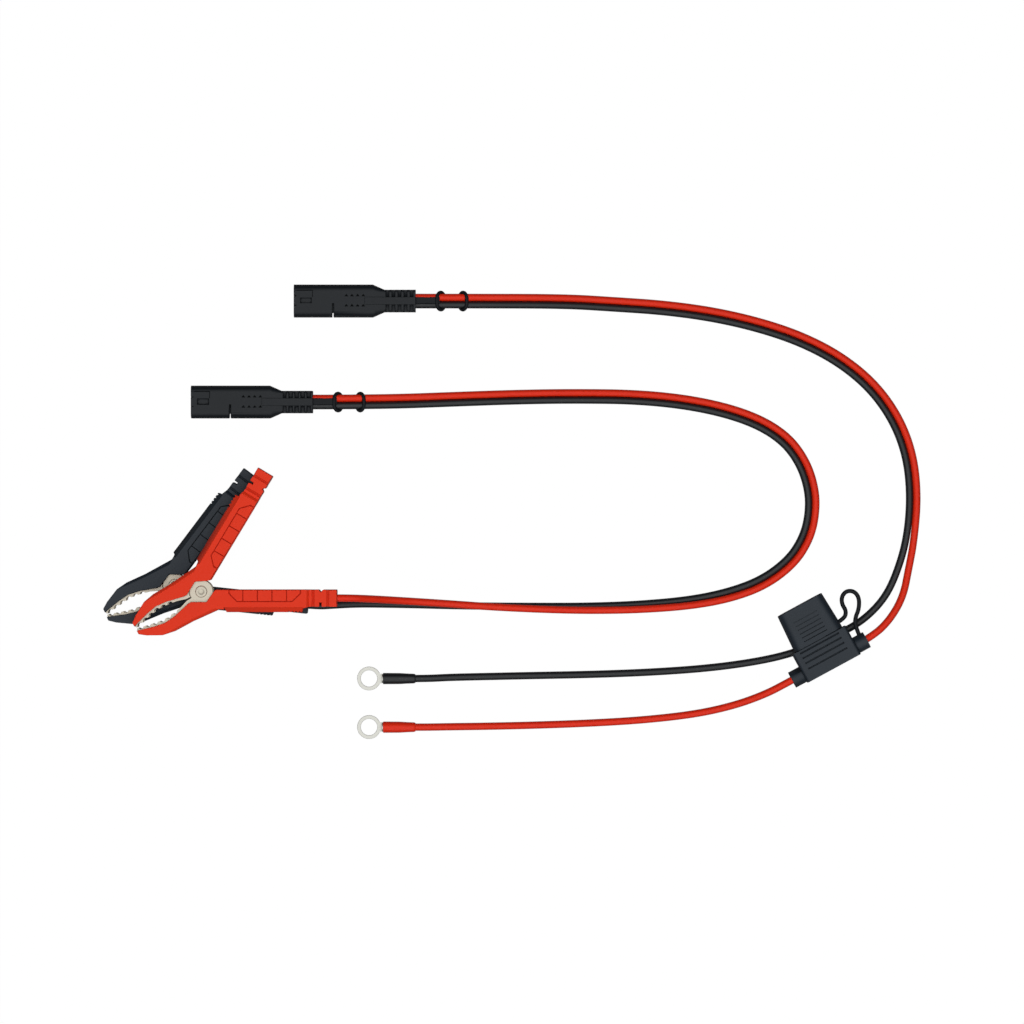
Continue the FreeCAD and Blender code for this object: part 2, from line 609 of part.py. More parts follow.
def grip(label, side):
    body = new_body(label)
    profile = sketch_on(body, "XY_Plane")
    lip = s.handle_rise
    corners = [
        (7.2, lip), (s.handle_reach, lip), (s.handle_reach, -s.collar_depth),
        (collar_start, -s.collar_depth), (collar_start - 2.7, -s.handle_depth + 2.0),
        (collar_start - 3.7, -s.handle_depth), (s.wire_line + 9.6, -s.handle_depth),
        (11.5, -9.1), (8.9, -8.8), (-4.5, -15.3), (-16.4, -s.jaw_drop + 0.6),
        (-16.7, -s.jaw_drop - 0.2), (-s.jaw_back, -s.jaw_drop),
        (-s.jaw_back - 4.2, -s.jaw_drop + 0.6), (-s.jaw_back - 5.1, -s.jaw_drop + 2.4),
        (-24.0, -17.8), (-18.4, -15.9), (-13.5, -12.5), (-6.7, -6.2), (-5.2, -5.3), (2.7, -5.3),
        (6.1, -0.4)]
    polygon(profile, [(x, y * side) for x, y in corners])
    block = pad(body, profile, s.grip_width)

    # bevel along the outer edges of the handle and of the jaw's back
    top = plain(s.grip_width)
    low = plain(s.handle_depth)

    def outer(a, b):
        flat = abs(a.z - b.z) < 0.01 and (a.z < 0.01 or a.z > top - 0.01)
        along_handle = abs(a.y * side + low) < 0.01 and abs(b.y * side + low) < 0.01
        along_jaw = a.x < 9 and b.x < 9 and a.x > -17 and b.x > -17 and a.y * side < -8.7 and \
            b.y * side < -8.7 and (a - b).Length > 5
        return flat and (along_handle or along_jaw)

    bevel(body, block, outer, s.grip_facet)

    # hollow for the pressed steel, open towards the other half
    back = inset(back_of_half(side), s.grip_wall * (-side))
    hollow = sketch_on(body, "XY_Plane", s.grip_wall)
    polygon(hollow, [(x, y) for x, y in back]
            + [(-s.jaw_back - 8.0, -15.0 * side), (-s.jaw_back - 8.0, 4.0 * side),
               (collar_start - 3.7, 4.0 * side)])
    pocket(body, hollow, s.grip_width - s.grip_wall * 2)

    # bore of the collar: the crimp behind, the wire in front
    for start, reach, radius in ((collar_start - 6, wire_stop - collar_start + 6,
                                  s.crimp_radius + s.seat),
                                 (wire_stop - 1, s.handle_reach, s.wire_dia / 2)):
        bore = sketch_on(body, "YZ_Plane", start)
        circle(bore, -s.wire_line * side, s.grip_width / 2, radius)
        pocket(body, bore, reach)

    # collar: a notch inside, a slit outside and two bands round it
    bands = sketch_on(body, "XY_Plane", -1)
    notch = s.handle_reach - 8.1
    polygon(bands, [(notch - 1, (lip + 1) * side), (notch - 0.9, (lip + 0) * side),
                    (notch, (lip - 1.3) * side), (notch + 0.9, (lip + 0) * side),
                    (notch + 1, (lip + 1) * side)])
    rectangle(bands, notch - 0.7, (-s.collar_depth - 1) * side, notch + 0.3,
              (-s.collar_depth + 2.1) * side)
    pocket(body, bands, s.grip_width + 2)
    for level, up in ((s.grip_width - 0.5, True), (0.5, False)):
        marks = sketch_on(body, "XY_Plane", level)
        for middle in (s.handle_reach - 12.0, s.handle_reach - 4.5):
            rectangle(marks, middle - 0.7, (lip + 1) * side, middle + 0.7,
                      (-s.collar_depth - 1) * side)
        pocket(body, marks, s.grip_width, along=up)

        # panel on each flank of the handle: a line round it and four lines across
        panel = sketch_on(body, "XY_Plane", s.grip_width - s.line_depth if up else s.line_depth)
        left, right = 13.9, collar_start - 3.9
        open_edge, long_edge = (lip + 1) * side, -5.3 * side
        line = s.line_width
        polygon(panel, [(left, open_edge), (left + line * 1.4, open_edge),
                        (left + line * 1.4, -0.9 * side), (left + 4.3 + line * 0.4, long_edge + line * side),
                        (right - 4.5 - line * 0.4, long_edge + line * side),
                        (right - line * 1.4, -0.9 * side), (right - line * 1.4, open_edge),
                        (right, open_edge), (right, -0.9 * side - line * 0.4 * side),
                        (right - 4.5, long_edge), (left + 4.3, long_edge),
                        (left, -0.9 * side - line * 0.4 * side)])
        pocket(body, panel, s.grip_width, along=up)
        across = sketch_on(body, "XY_Plane", s.grip_width - s.line_depth if up else s.line_depth)
        field = (right - left) / 5
        for k in range(1, 5):
            middle = left + field * k
            rectangle(across, middle - line / 2, open_edge, middle + line / 2,
                      long_edge + line * 0.5 * side)
        pocket(body, across, s.grip_width, along=up)

    # grip ribs near the end of the handle
    rib = sketch_on(body, "XY_Plane", -1)
    first = collar_start - 10.6
    polygon(rib, [(first, (-s.handle_depth - 1) * side), (first + 0.2, (-s.handle_depth + 0.6) * side),
                  (first + 0.8, (-s.handle_depth + 0.6) * side), (first + 1.0, (-s.handle_depth - 1) * side)])
    cut = pocket(body, rib, s.grip_width + 2)
    ribs = body.newObject("PartDesign::LinearPattern", body.Name + "_ribs")
    ribs.Originals = [cut]
    ribs.Direction = ([f for f in body.Origin.OriginFeatures if f.Role == "X_Axis"][0], [""])
    ribs.Occurrences = 4
    ribs.Length = 5.4
    body.Tip = ribs
    return body


def jaw(label, side, nested):
    """The pressed steel half: a channel with a toothed edge and two ears round the hinge."""
    body = new_body(label)
    span = s.grip_width - flank * 2
    back = inset(back_of_half(side), s.grip_wall * (-side))
    back = [(collar_start - 9.0, back[0][1])] + back[1:]
    tip_x = -s.jaw_back - 5.0
    inner_edge = [(tip_x, -s.jaw_drop + 3.65), (-29.6, -17.77), (-24.8, -16.3), (-19.2, -14.4),
                  (-14.3, -11.1), (-10.4, -8.05), (-7.3, -4.55), (-4.2, -2.7), (4.0, -1.4),
                  (collar_start - 9.0, -1.4)]
    steel_edge = [(x, y * side) for x, y in inner_edge]
    profile = sketch_on(body, "XY_Plane", flank)
    polygon(profile, back + steel_edge)
    pad(body, profile, span)
    if not nested:
        ears = sketch_on(body, "XY_Plane", flank)
        circle(ears, 0, 0, s.ear_radius)
        pad(body, ears, span)

    # inside of the channel
    flange = nested_flange if nested else s.steel
    web = inset(back_of_half(side), (s.grip_wall + s.steel) * (-side))
    web = [(collar_start - 8.0, web[0][1])] + web[1:]
    middle = sketch_on(body, "XY_Plane", flank + flange)
    polygon(middle, web + [(-s.jaw_back - 8.0, -14.0 * side), (-s.jaw_back - 8.0, 8.0 * side),
                           (collar_start - 8.0, 8.0 * side)])
    pocket(body, middle, span - flange * 2)

    # the inner ears hang on tabs inside the flanges, past the outer ears of the other half
    if nested:
        clear = sketch_on(body, "XY_Plane", flank - 1)
        circle(clear, 0, 0, s.ear_radius + s.fit)
        pocket(body, clear, span + 2)
        for level in (flank + flange, s.grip_width - flank - flange - s.steel):
            tab = sketch_on(body, "XY_Plane", level)
            polygon(tab, [(5.2, -2.4 * side), (6.2, -6.0 * side), (-5.6, -11.8 * side),
                          (-5.2, -2.4 * side)])
            pad(body, tab, s.steel)
            ear = sketch_on(body, "XY_Plane", level)
            circle(ear, 0, 0, s.ear_radius)
            pad(body, ear, s.steel)
    hole = sketch_on(body, "XY_Plane", flank - 1)
    circle(hole, 0, 0, s.rivet_dia / 2 + s.seat)
    pocket(body, hole, span + 2)

    # rounded hollows between the teeth, from the tip back along the edge
    hollows = sketch_on(body, "XY_Plane", flank - 1)
    walk = [(plain(x), plain(y)) for x, y in steel_edge[:6]]
    reach = plain(s.tooth_pitch) * 0.55
    for count in range(6):
        left = reach + plain(s.tooth_pitch) * count
        for (ax, ay), (bx, by) in zip(walk, walk[1:]):
            length = math.hypot(bx - ax, by - ay)
            if left <= length:
                break
            left -= length
        across = ((ay - by) / length * -side, (bx - ax) / length * -side)
        out = plain(s.tooth_radius) * 0.35
        x = ax + (bx - ax) * left / length - across[0] * out
        y = ay + (by - ay) * left / length - across[1] * out
        circle(hollows, x, y, s.tooth_radius)
    pocket(body, hollows, span + 2)
    return body


def biarc(start, leaving, stop, arriving):
    """Two arcs that leave and arrive in the given directions and meet smoothly."""
    span = stop - start
    both = leaving + arriving
    bend = 2 * (1 - leaving.dot(arriving))
    along = span.dot(both)
    reach = (math.sqrt(along * along + bend * span.dot(span)) - along) / bend
    meet = (start + stop + (leaving - arriving) * reach) / 2
    arcs = []
    for a, corner, b in ((start, start + leaving * reach, meet), (meet, stop - arriving * reach, stop)):
        chord = (a + b) / 2
        rise = (corner - chord).Length
        half = (b - a).Length / 2
        sag = half * math.tan(math.atan2(rise, half) / 2)
        arcs.append(Part.Arc(a, chord + (corner - chord) * (sag / rise), b).toShape())
    return arcs


def torsion_spring(label):
    """A coil round the rivet, wound in half turns, with a leg along each handle."""
    turns = 3
    radius = plain(s.spring_radius)
    wire = plain(s.spring_wire)
    spread = math.radians(plain(s.spread))
    leg_y = -plain(s.handle_depth) + plain(s.grip_wall) + plain(s.steel) + wire / 2 + 0.3
    reach = 24.0
    # each leg leaves the coil where its line touches the circle
    first = math.atan2(leg_y, reach) - math.acos(radius / math.hypot(leg_y, reach))
    total = spread - 2 * first - 2 * math.pi * (turns + 1)
    room = plain(s.grip_width - (flank + nested_flange + s.steel + s.spring_room) * 2)
    rise = (room - wire) * 2 * math.pi / -total
    floor = plain(s.grip_width) / 2 + rise * total / (4 * math.pi)
    slope = rise / (2 * math.pi * radius)

    def on_coil(angle):
        return FreeCAD.Vector(radius * math.cos(angle), radius * math.sin(angle),
                              floor + rise * (first - angle) / (2 * math.pi))

    def heading(angle, climb):
        ahead = FreeCAD.Vector(math.sin(angle), -math.cos(angle), climb)
        return ahead.normalize()

    last = first + total
    steps = 2 * (turns + 1) - 1
    stops = [first + total * k / steps for k in range(steps + 1)]
    foot = FreeCAD.Vector(reach, leg_y, floor)
    head = FreeCAD.Vector(reach * math.cos(spread) + leg_y * math.sin(spread),
                          reach * math.sin(spread) - leg_y * math.cos(spread), on_coil(last).z)
    edges = [Part.LineSegment(foot, on_coil(first)).toShape()]
    for a, b in zip(stops, stops[1:]):
        edges += biarc(on_coil(a), heading(a, 0 if a == first else slope),
                       on_coil(b), heading(b, 0 if b == last else slope))
    edges.append(Part.LineSegment(on_coil(last), head).toShape())
    path = doc.addObject("Part::Feature", label + "_route")
    path.Shape = Part.Wire(edges)
    section = doc.addObject("Part::Circle", label + "_section")
    tie(section, "Radius", s.spring_wire / 2)
    section.Placement = FreeCAD.Placement(
        foot, FreeCAD.Rotation(FreeCAD.Vector(0, 0, 1), on_coil(first) - foot))
    spring = doc.addObject("Part::Sweep", label)
    spring.Label = label
    spring.Sections = [section]
    spring.Spine = (path, [])
    spring.Solid = True
    spring.Frenet = False
    worked(section, spring)
    print(f"{label}: least gap between turns {rise - wire:.2f} mm")
    return spring


def clamp(colour, at_x, at_y, at_z, turn):
    spread_turn = turn + s.spread
    place(grip(colour + "_grip_lower", 1), at_x, at_y, at_z, turn)
    place(grip(colour + "_grip_upper", -1), at_x, at_y, at_z, spread_turn)
    place(jaw(colour + "_jaw_lower", 1, False), at_x, at_y, at_z, turn)
    place(jaw(colour + "_jaw_upper", -1, True), at_x, at_y, at_z, spread_turn)

    rivet = new_body(colour + "_hinge_rivet")
    half = sketch_on(rivet, "XZ_Plane")
    low = flank
    top = s.grip_width - flank
    shank = s.rivet_dia / 2
    head = s.rivet_head / 2
    polygon(half, [(0, low - s.rivet_crown), (head - 0.9, low - s.rivet_crown),
                   (head, low - s.rivet_crown * 0.45), (head, low), (shank, low), (shank, top),
                   (head, top), (head, top + s.rivet_crown * 0.45),
                   (head - 0.9, top + s.rivet_crown), (0, top + s.rivet_crown)])
    spun = rivet.newObject("PartDesign::Revolution", rivet.Name + "_turned")
    spun.Profile = half
    spun.ReferenceAxis = (half, ["V_Axis"])
    spun.Angle = 360
    place(rivet, at_x, at_y, at_z, turn)

    place(torsion_spring(colour + "_hinge_spring"), at_x, at_y, at_z, turn)

    # crimp: a barrel on the wire's end, with a foot on the steel
    crimp = new_body(colour + "_wire_crimp")
    start = wire_stop - s.crimp_length
    barrel = sketch_on(crimp, "YZ_Plane", start)
    circle(barrel, -s.wire_line, s.grip_width / 2, s.crimp_radius)
    pad(crimp, barrel, s.crimp_length)
    foot = sketch_on(crimp, "XY_Plane", s.grip_width / 2 - 2)
    web = -s.handle_depth + s.grip_wall + s.steel
    rectangle(foot, start - 6, web, start + 4, web + 1.2)
    pad(crimp, foot, 4)
    neck = sketch_on(crimp, "XY_Plane", s.grip_width / 2 - 1.5)
    polygon(neck, [(start - 2, web + 1), (start + 3, web + 1), (start + 3, -s.wire_line),
                   (start, -s.wire_line)])
    pad(crimp, neck, 3)
    place(crimp, at_x, at_y, at_z, turn)


# Fuse holder, in its own frame: X along the wire, Y the way the cap comes off, Z = 0 in the middle

def fuse_holder():
    lift = s.holder_lift + s.holder_thick / 2
    here = (s.holder_x, s.holder_y, lift, s.holder_turn)
    top = s.holder_depth / 2
    half = s.holder_length / 2

    body = new_body("fuse_holder_body")
    block = sketch_on(body, "XZ_Plane", -top)
    rounded(block, 0, 0, s.holder_length, s.holder_thick, 1.6)
    pad(body, block, s.holder_depth)
    collars = sketch_on(body, "YZ_Plane", -half - s.sleeve_length)
    circle(collars, s.holder_wire, 0, s.sleeve_radius)
    pad(body, collars, s.holder_length + s.sleeve_length * 2)
    neck = sketch_on(body, "XZ_Plane", -top - s.neck_height)
    rounded(neck, 0, 0, s.neck_length, s.neck_thick, 2.0)
    pad(body, neck, s.neck_height + 2)
    well = sketch_on(body, "XZ_Plane", -top - s.neck_height - 1)
    rectangle(well, -s.well_length / 2, -s.well_thick / 2, s.well_length / 2, s.well_thick / 2)
    pocket(body, well, s.well_depth + s.neck_height + 1)
    bore = sketch_on(body, "YZ_Plane", -half - s.sleeve_length - 1)
    circle(bore, s.holder_wire, 0, s.wire_dia / 2)
    pocket(body, bore, s.holder_length + s.sleeve_length * 2 + 2)
    for level, up in ((s.holder_thick / 2 - 0.45, True), (-s.holder_thick / 2 + 0.45, False)):
        grooves = sketch_on(body, "XY_Plane", level)
        for count in range(5):
            y = 0.4 + 1.55 * count
            rectangle(grooves, -9.6, y, 10.2, y + 0.7)
        pocket(body, grooves, s.holder_thick, along=up)
    place(body, *here)

    # cap: a tapered hollow box over the neck
    foot = top + s.fit
    cap = new_body("fuse_cap")
    outer_foot = sketch_on(cap, "XZ_Plane", -foot)
    rounded(outer_foot, 0, 0, s.cap_foot, s.cap_foot_thick, s.cap_corner)
    outer_top = sketch_on(cap, "XZ_Plane", -foot - s.cap_height)
    rounded(outer_top, 0, 0, s.cap_top, s.cap_top_thick, s.cap_corner)
    shell = cap.newObject("PartDesign::AdditiveLoft", "cap_shell")
    shell.Profile = outer_foot
    shell.Sections = [outer_top]
    shell.Ruled = True
    inner_foot = sketch_on(cap, "XZ_Plane", -foot)
    rounded(inner_foot, 0, 0, s.cap_foot - s.cap_wall * 2,
            s.cap_foot_thick - s.cap_wall * 2, s.cap_corner - s.cap_wall)
    inner_top = sketch_on(cap, "XZ_Plane", -foot - s.cap_height + s.cap_wall)
    rounded(inner_top, 0, 0, s.cap_top - s.cap_wall * 2,
            s.cap_top_thick - s.cap_wall * 2, s.cap_corner - s.cap_wall)
    inside = cap.newObject("PartDesign::SubtractiveLoft", "cap_inside")
    inside.Profile = inner_foot
    inside.Sections = [inner_top]
    inside.Ruled = True
    for level, up in ((s.cap_top_thick / 2 - 0.1, True), (-s.cap_top_thick / 2 + 0.1, False)):
        lines = sketch_on(cap, "XY_Plane", level)
        for count in range(6):
            y = foot + 2.4 + 2.2 * count
            rectangle(lines, -6.2, y, 5.6, y + 0.45)
        pocket(cap, lines, s.holder_thick, along=up)
    place(cap, *here)

    # blade fuse: a plastic body round a bridge with two blades
    fuse_foot = top + s.fit
    blade_half = s.blade_width / 2
    pole = s.blade_pitch / 2
    blades = new_body("fuse_blades")
    flat = sketch_on(blades, "XY_Plane", -s.blade_thick / 2)
    crown = fuse_foot + s.fuse_height - 1.5
    polygon(flat, [(-pole - blade_half, fuse_foot - s.blade_reach + 0.8),
                   (-pole - blade_half + 0.8, fuse_foot - s.blade_reach),
                   (-pole + blade_half - 0.8, fuse_foot - s.blade_reach),
                   (-pole + blade_half, fuse_foot - s.blade_reach + 0.8),
                   (-pole + blade_half, crown - 2.2), (pole - blade_half, crown - 2.2),
                   (pole - blade_half, fuse_foot - s.blade_reach + 0.8),
                   (pole - blade_half + 0.8, fuse_foot - s.blade_reach),
                   (pole + blade_half - 0.8, fuse_foot - s.blade_reach),
                   (pole + blade_half, fuse_foot - s.blade_reach + 0.8),
                   (pole + blade_half, crown), (-pole - blade_half, crown)])
    pad(blades, flat, s.blade_thick)
    place(blades, *here)

    fuse = new_body("fuse_body")
    trunk = sketch_on(fuse, "XZ_Plane", -fuse_foot - s.fuse_height)
    rounded(trunk, 0, 0, s.fuse_width, s.fuse_thick, s.fuse_corner)
    pad(fuse, trunk, s.fuse_height)
    head = sketch_on(fuse, "XZ_Plane", -fuse_foot - s.fuse_height)
    rounded(head, 0, 0, s.fuse_width + s.fuse_brim * 2, s.fuse_thick, s.fuse_corner)
    pad(fuse, head, s.fuse_head)
    notch = sketch_on(fuse, "XY_Plane", -s.fuse_thick)
    rectangle(notch, -2.0, fuse_foot - 1, 2.0, fuse_foot + 3.0)
    pocket(fuse, notch, s.fuse_thick * 2)
    room = sketch_on(fuse, "XY_Plane", -s.blade_thick / 2 - s.seat)
    gap = s.seat
    polygon(room, [(-pole - blade_half - gap, fuse_foot - 1), (-pole + blade_half + gap, fuse_foot - 1),
                   (-pole + blade_half + gap, crown - 2.2 - gap),
                   (pole - blade_half - gap, crown - 2.2 - gap),
                   (pole - blade_half - gap, fuse_foot - 1), (pole + blade_half + gap, fuse_foot - 1),
                   (pole + blade_half + gap, crown + gap), (-pole - blade_half - gap, crown + gap)])
    pocket(fuse, room, s.blade_thick + s.seat * 2)
    place(fuse, *here)

    # a clip for each blade, crimped to the wire
    for label, way in (("fuse_clip_feed", 1), ("fuse_clip_tail", -1)):
        clip = new_body(label)
        wall = s.well_length / 2
        box = sketch_on(clip, "XY_Plane", -1.9)
        rectangle(box, (wall - 6.3) * way, s.holder_wire + 2.6, wall * way, top - 0.4)
        pad(clip, box, 3.8)
        slot = sketch_on(clip, "XY_Plane", -s.blade_thick / 2 - s.seat)
        rectangle(slot, (pole - blade_half - 0.1) * way, fuse_foot - s.blade_reach - 0.5,
                  (pole + blade_half + 0.1) * way, top + 1)
        pocket(clip, slot, s.blade_thick + s.seat * 2)
        barrel = sketch_on(clip, "YZ_Plane", wall * way if way < 0 else wall - 5.0)
        circle(barrel, s.holder_wire, 0, s.wire_dia / 2 + 0.5)
        pad(clip, barrel, 5.0)
        tang = sketch_on(clip, "XY_Plane", -1.2)
        rectangle(tang, (wall - 6.3) * way, s.holder_wire + 1.5, (wall - 0.6) * way,
                  s.holder_wire + 3.2)
        pad(clip, tang, 2.4)
        throat = sketch_on(clip, "YZ_Plane", wall * way - 3.0 * (1 if way > 0 else 0))
        circle(throat, s.holder_wire, 0, s.wire_dia / 2)
        pocket(clip, throat, 3.0)
        place(clip, *here)

    # rubber strap from the cap to the collar beyond, in a loop
    strap_points = [(plain(s.cap_foot) / 2, 11.6), (17.3, 11.7), (19.6, 14.7), (19.3, 18.6),
                    (20.9, 22.0), (24.3, 23.6), (27.9, 21.7), (28.7, 17.5), (25.9, 12.4),
                    (21.9, 9.2), (20.0, 5.6), (19.5, 1.4)]
    strap = tube("fuse_cap_strap", [(x, y, 0.0) for x, y in strap_points], s.strap_dia)
    place(strap, *here)


# Ring terminals

def eyelet(colour, at_y):
    lift = s.tube_mouth
    plate_foot = -s.barrel_radius
    ring = new_body(colour + "_ring_terminal")
    disc = sketch_on(ring, "XY_Plane", plate_foot)
    circle(disc, 0, 0, s.eye_outer / 2)
    pad(ring, disc, s.eye_thick)
    tang = sketch_on(ring, "XY_Plane", plate_foot)
    polygon(tang, [(3.9, -2.9), (s.tube_start, -2.3), (s.tube_start, 2.3), (3.9, 2.9)])
    pad(ring, tang, s.eye_thick)
    barrel = sketch_on(ring, "YZ_Plane", s.tube_start - 0.6)
    circle(barrel, 0, 0, s.barrel_radius)
    pad(ring, barrel, s.barrel_end - s.tube_start + 0.6)
    hole = sketch_on(ring, "XY_Plane", plate_foot - 1)
    circle(hole, 0, 0, s.eye_bore / 2)
    pocket(ring, hole, s.eye_thick + 2)
    place(ring, s.eye_x, at_y, lift, 0)

    sleeve = new_body(colour + "_ring_sleeve")
    half = sketch_on(sleeve, "XY_Plane")
    end = s.tube_start + s.tube_length
    polygon(half, [(s.tube_start, s.barrel_radius), (s.tube_start, s.tube_mouth),
                   (end, s.tube_tail), (end, s.wire_dia / 2), (s.barrel_end, s.wire_dia / 2),
                   (s.barrel_end, s.barrel_radius)])
    turned(sleeve, half)
    place(sleeve, s.eye_x, at_y, lift, 0)


# Leads

connector("clip", s.clip_plug_x, s.clip_plug_y)
connector("eyelet", s.eyelet_plug_x, s.eyelet_plug_y)
red_lift = s.grip_width + s.clamp_gap
clamp("black", s.black_clamp_x, s.black_clamp_y, 0, s.black_clamp_turn)
clamp("red", s.red_clamp_x, s.red_clamp_y, red_lift, s.red_clamp_turn)
fuse_holder()
eyelet("black", s.black_eye_y)
eyelet("red", s.red_eye_y)

pitch = plain(s.wire_dia + s.twin_gap)
floor = plain(s.wire_dia) / 2 + 0.05
plug_axis = plain(s.plug_height) / 2
wire_start = plain(s.plug_barrel + s.plug_taper + s.relief_length) - 7.9


def on_clamp(at_x, at_y, turn, along, height):
    """A point on the wire's axis in a clamp's collar."""
    angle = math.radians(plain(turn))
    across = -plain(s.wire_line)
    return (plain(at_x) + along * math.cos(angle) - across * math.sin(angle),
            plain(at_y) + along * math.sin(angle) + across * math.cos(angle), height)


def on_holder(along):
    """A point on the wire's axis in the fuse holder."""
    angle = math.radians(plain(s.holder_turn))
    across = plain(s.holder_wire)
    return (plain(s.holder_x) + along * math.cos(angle) - across * math.sin(angle),
            plain(s.holder_y) + along * math.sin(angle) + across * math.cos(angle),
            plain(s.holder_lift + s.holder_thick / 2))


# clip lead: x, y, height of the lower wire, roll of the red wire over the black one
clip_start = (plain(s.clip_plug_x) + wire_start, plain(s.clip_plug_y), plug_axis, 0)
clip_route = [clip_start, (-54.8, clip_start[1], plug_axis, 0), (-12.3, 58.2, 2.1, 0), (14.0, 59.1, floor, 0),
              (42.5, 59.6, floor, 0), (78.5, 59.2, floor, 0), (109.4, 55.6, floor, 0),
              (135.2, 48.6, floor, 0), (152.7, 38.9, floor, 0), (163.0, 26.0, floor, 0),
              (168.2, 10.8, floor, 0), (168.2, -2.6, floor, 0), (165.0, -14.4, floor, 0),
              (157.3, -25.9, floor, 0), (142.9, -36.4, floor, 0), (124.9, -42.8, floor, 14),
              (104.3, -46.8, floor, 34), (78.5, -48.9, floor, 45), (52.8, -49.6, floor, 56),
              (27.0, -49.3, floor, 68), (1.3, -48.6, floor, 86)]
clip_red, clip_black = twin(clip_route, pitch)
red_axis = plain(red_lift + s.grip_width / 2)
black_axis = plain(s.grip_width / 2)
wire_end = plain(wire_stop)
collar_end = plain(s.handle_reach)
clip_red += [(-18.0, -47.3, 6.5), (-35.5, -46.1, 9.0), (-50.0, -45.1, 15.0), (-60.5, -44.4, 21.6),
             on_clamp(s.red_clamp_x, s.red_clamp_y, s.red_clamp_turn, collar_end + 6.0, red_axis),
             on_clamp(s.red_clamp_x, s.red_clamp_y, s.red_clamp_turn, wire_end, red_axis)]
clip_black += [(-19.0, -47.3, floor), (-36.5, -46.8, 2.2), (-52.0, -46.8, 3.7),
               (-66.5, -47.7, 6.4), (-79.2, -48.9, 8.6),
               on_clamp(s.black_clamp_x, s.black_clamp_y, s.black_clamp_turn, collar_end + 4.5,
                        black_axis),
               on_clamp(s.black_clamp_x, s.black_clamp_y, s.black_clamp_turn, wire_end, black_axis)]
tube("clip_wire_red", clip_red, s.wire_dia)
tube("clip_wire_black", clip_black, s.wire_dia)

# eyelet lead: the twin up to where it parts, then each wire on its own
eyelet_start = (plain(s.eyelet_plug_x) + wire_start, plain(s.eyelet_plug_y), plug_axis, 0)
eyelet_route = [eyelet_start, (-2.0, eyelet_start[1], plug_axis, 0), (40.5, 108.4, 2.0, 0),
                (66.0, 106.8, floor, 0), (90.0, 105.2, floor, 0), (115.0, 102.5, floor, 0),
                (139.0, 97.4, floor, 0), (161.5, 90.2, floor, 0), (182.0, 79.9, floor, 0),
                (199.2, 66.0, floor, 0), (211.6, 48.7, floor, 0), (218.9, 29.4, floor, 0),
                (221.1, 7.7, floor, 0), (218.6, -14.9, floor, 0)]
feed, ground = twin(eyelet_route, pitch)
feed += [(217.4, -29.2, 2.8), (213.6, -43.9, 5.4), (206.2, -56.0, 8.6),
         on_holder(plain(s.holder_length / 2 + s.sleeve_length) + 3.0), on_holder(12.5)]
ground += [(211.0, -33.4, floor), (205.2, -45.2, floor), (195.6, -54.6, floor),
           (184.6, -61.0, floor), (170.2, -67.5, floor), (154.8, -73.4, floor),
           (136.2, -77.4, floor), (112.5, -80.5, floor), (83.7, -82.5, floor),
           (53.8, -83.6, floor), (21.9, -84.2, floor), (-2.0, -84.7, floor)]
tube("eyelet_wire_feed", feed, s.wire_dia)
eye_height = plain(s.tube_mouth)
eye_end = plain(s.eye_x + s.barrel_end)
sleeve_end = plain(s.eye_x + s.tube_start + s.tube_length)
black_eye = plain(s.black_eye_y)
red_eye = plain(s.red_eye_y)
ground += [(-20.0, -85.1, 2.4), (sleeve_end + 6.0, black_eye, eye_height),
           (eye_end, black_eye, eye_height)]
tube("eyelet_wire_black", ground, s.wire_dia)
tail = [on_holder(-12.5), on_holder(-plain(s.holder_length / 2 + s.sleeve_length) - 3.0),
        (142.9, -93.5, 8.4), (127.5, -99.3, 4.8), (107.9, -103.9, 2.5), (81.1, -107.0, floor),
        (52.8, -108.7, floor), (21.9, -109.8, floor), (-2.0, -110.3, floor),
        (-20.0, -110.5, 2.4), (sleeve_end + 6.0, red_eye, eye_height),
        (eye_end, red_eye, eye_height)]
tube("eyelet_wire_red", tail, s.wire_dia)

# Every piece is checked before any is written
doc.recompute()
PIECES = [thing for thing in doc.Objects
          if thing.TypeId == "PartDesign::Body" or thing.TypeId == "Part::Sweep"]
for thing in doc.Objects:
    bad = [word for word in thing.State if word in ("Invalid", "Error")]
    if bad:
        raise RuntimeError(f"{thing.Label} is {bad}")
    if thing.TypeId == "PartDesign::Pocket":
        if thing.Shape.Volume > thing.BaseFeature.Shape.Volume - 1e-4:
            raise RuntimeError(f"{thing.Label} cuts nothing")
for piece in PIECES:
    shape = piece.Shape
    if shape.isNull() or not shape.isValid() or len(shape.Solids) != 1:
        raise RuntimeError(f"{piece.Label} is not one valid solid")
os.makedirs("parts", exist_ok=True)
for piece in PIECES:
    piece.Shape.exportStep(f"parts/{piece.Label}.step")
print(len(PIECES), "pieces written")
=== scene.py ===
import json
import math
import bmesh
import bpy
from mathutils import Matrix, Vector
from mathutils.geometry import intersect_point_line

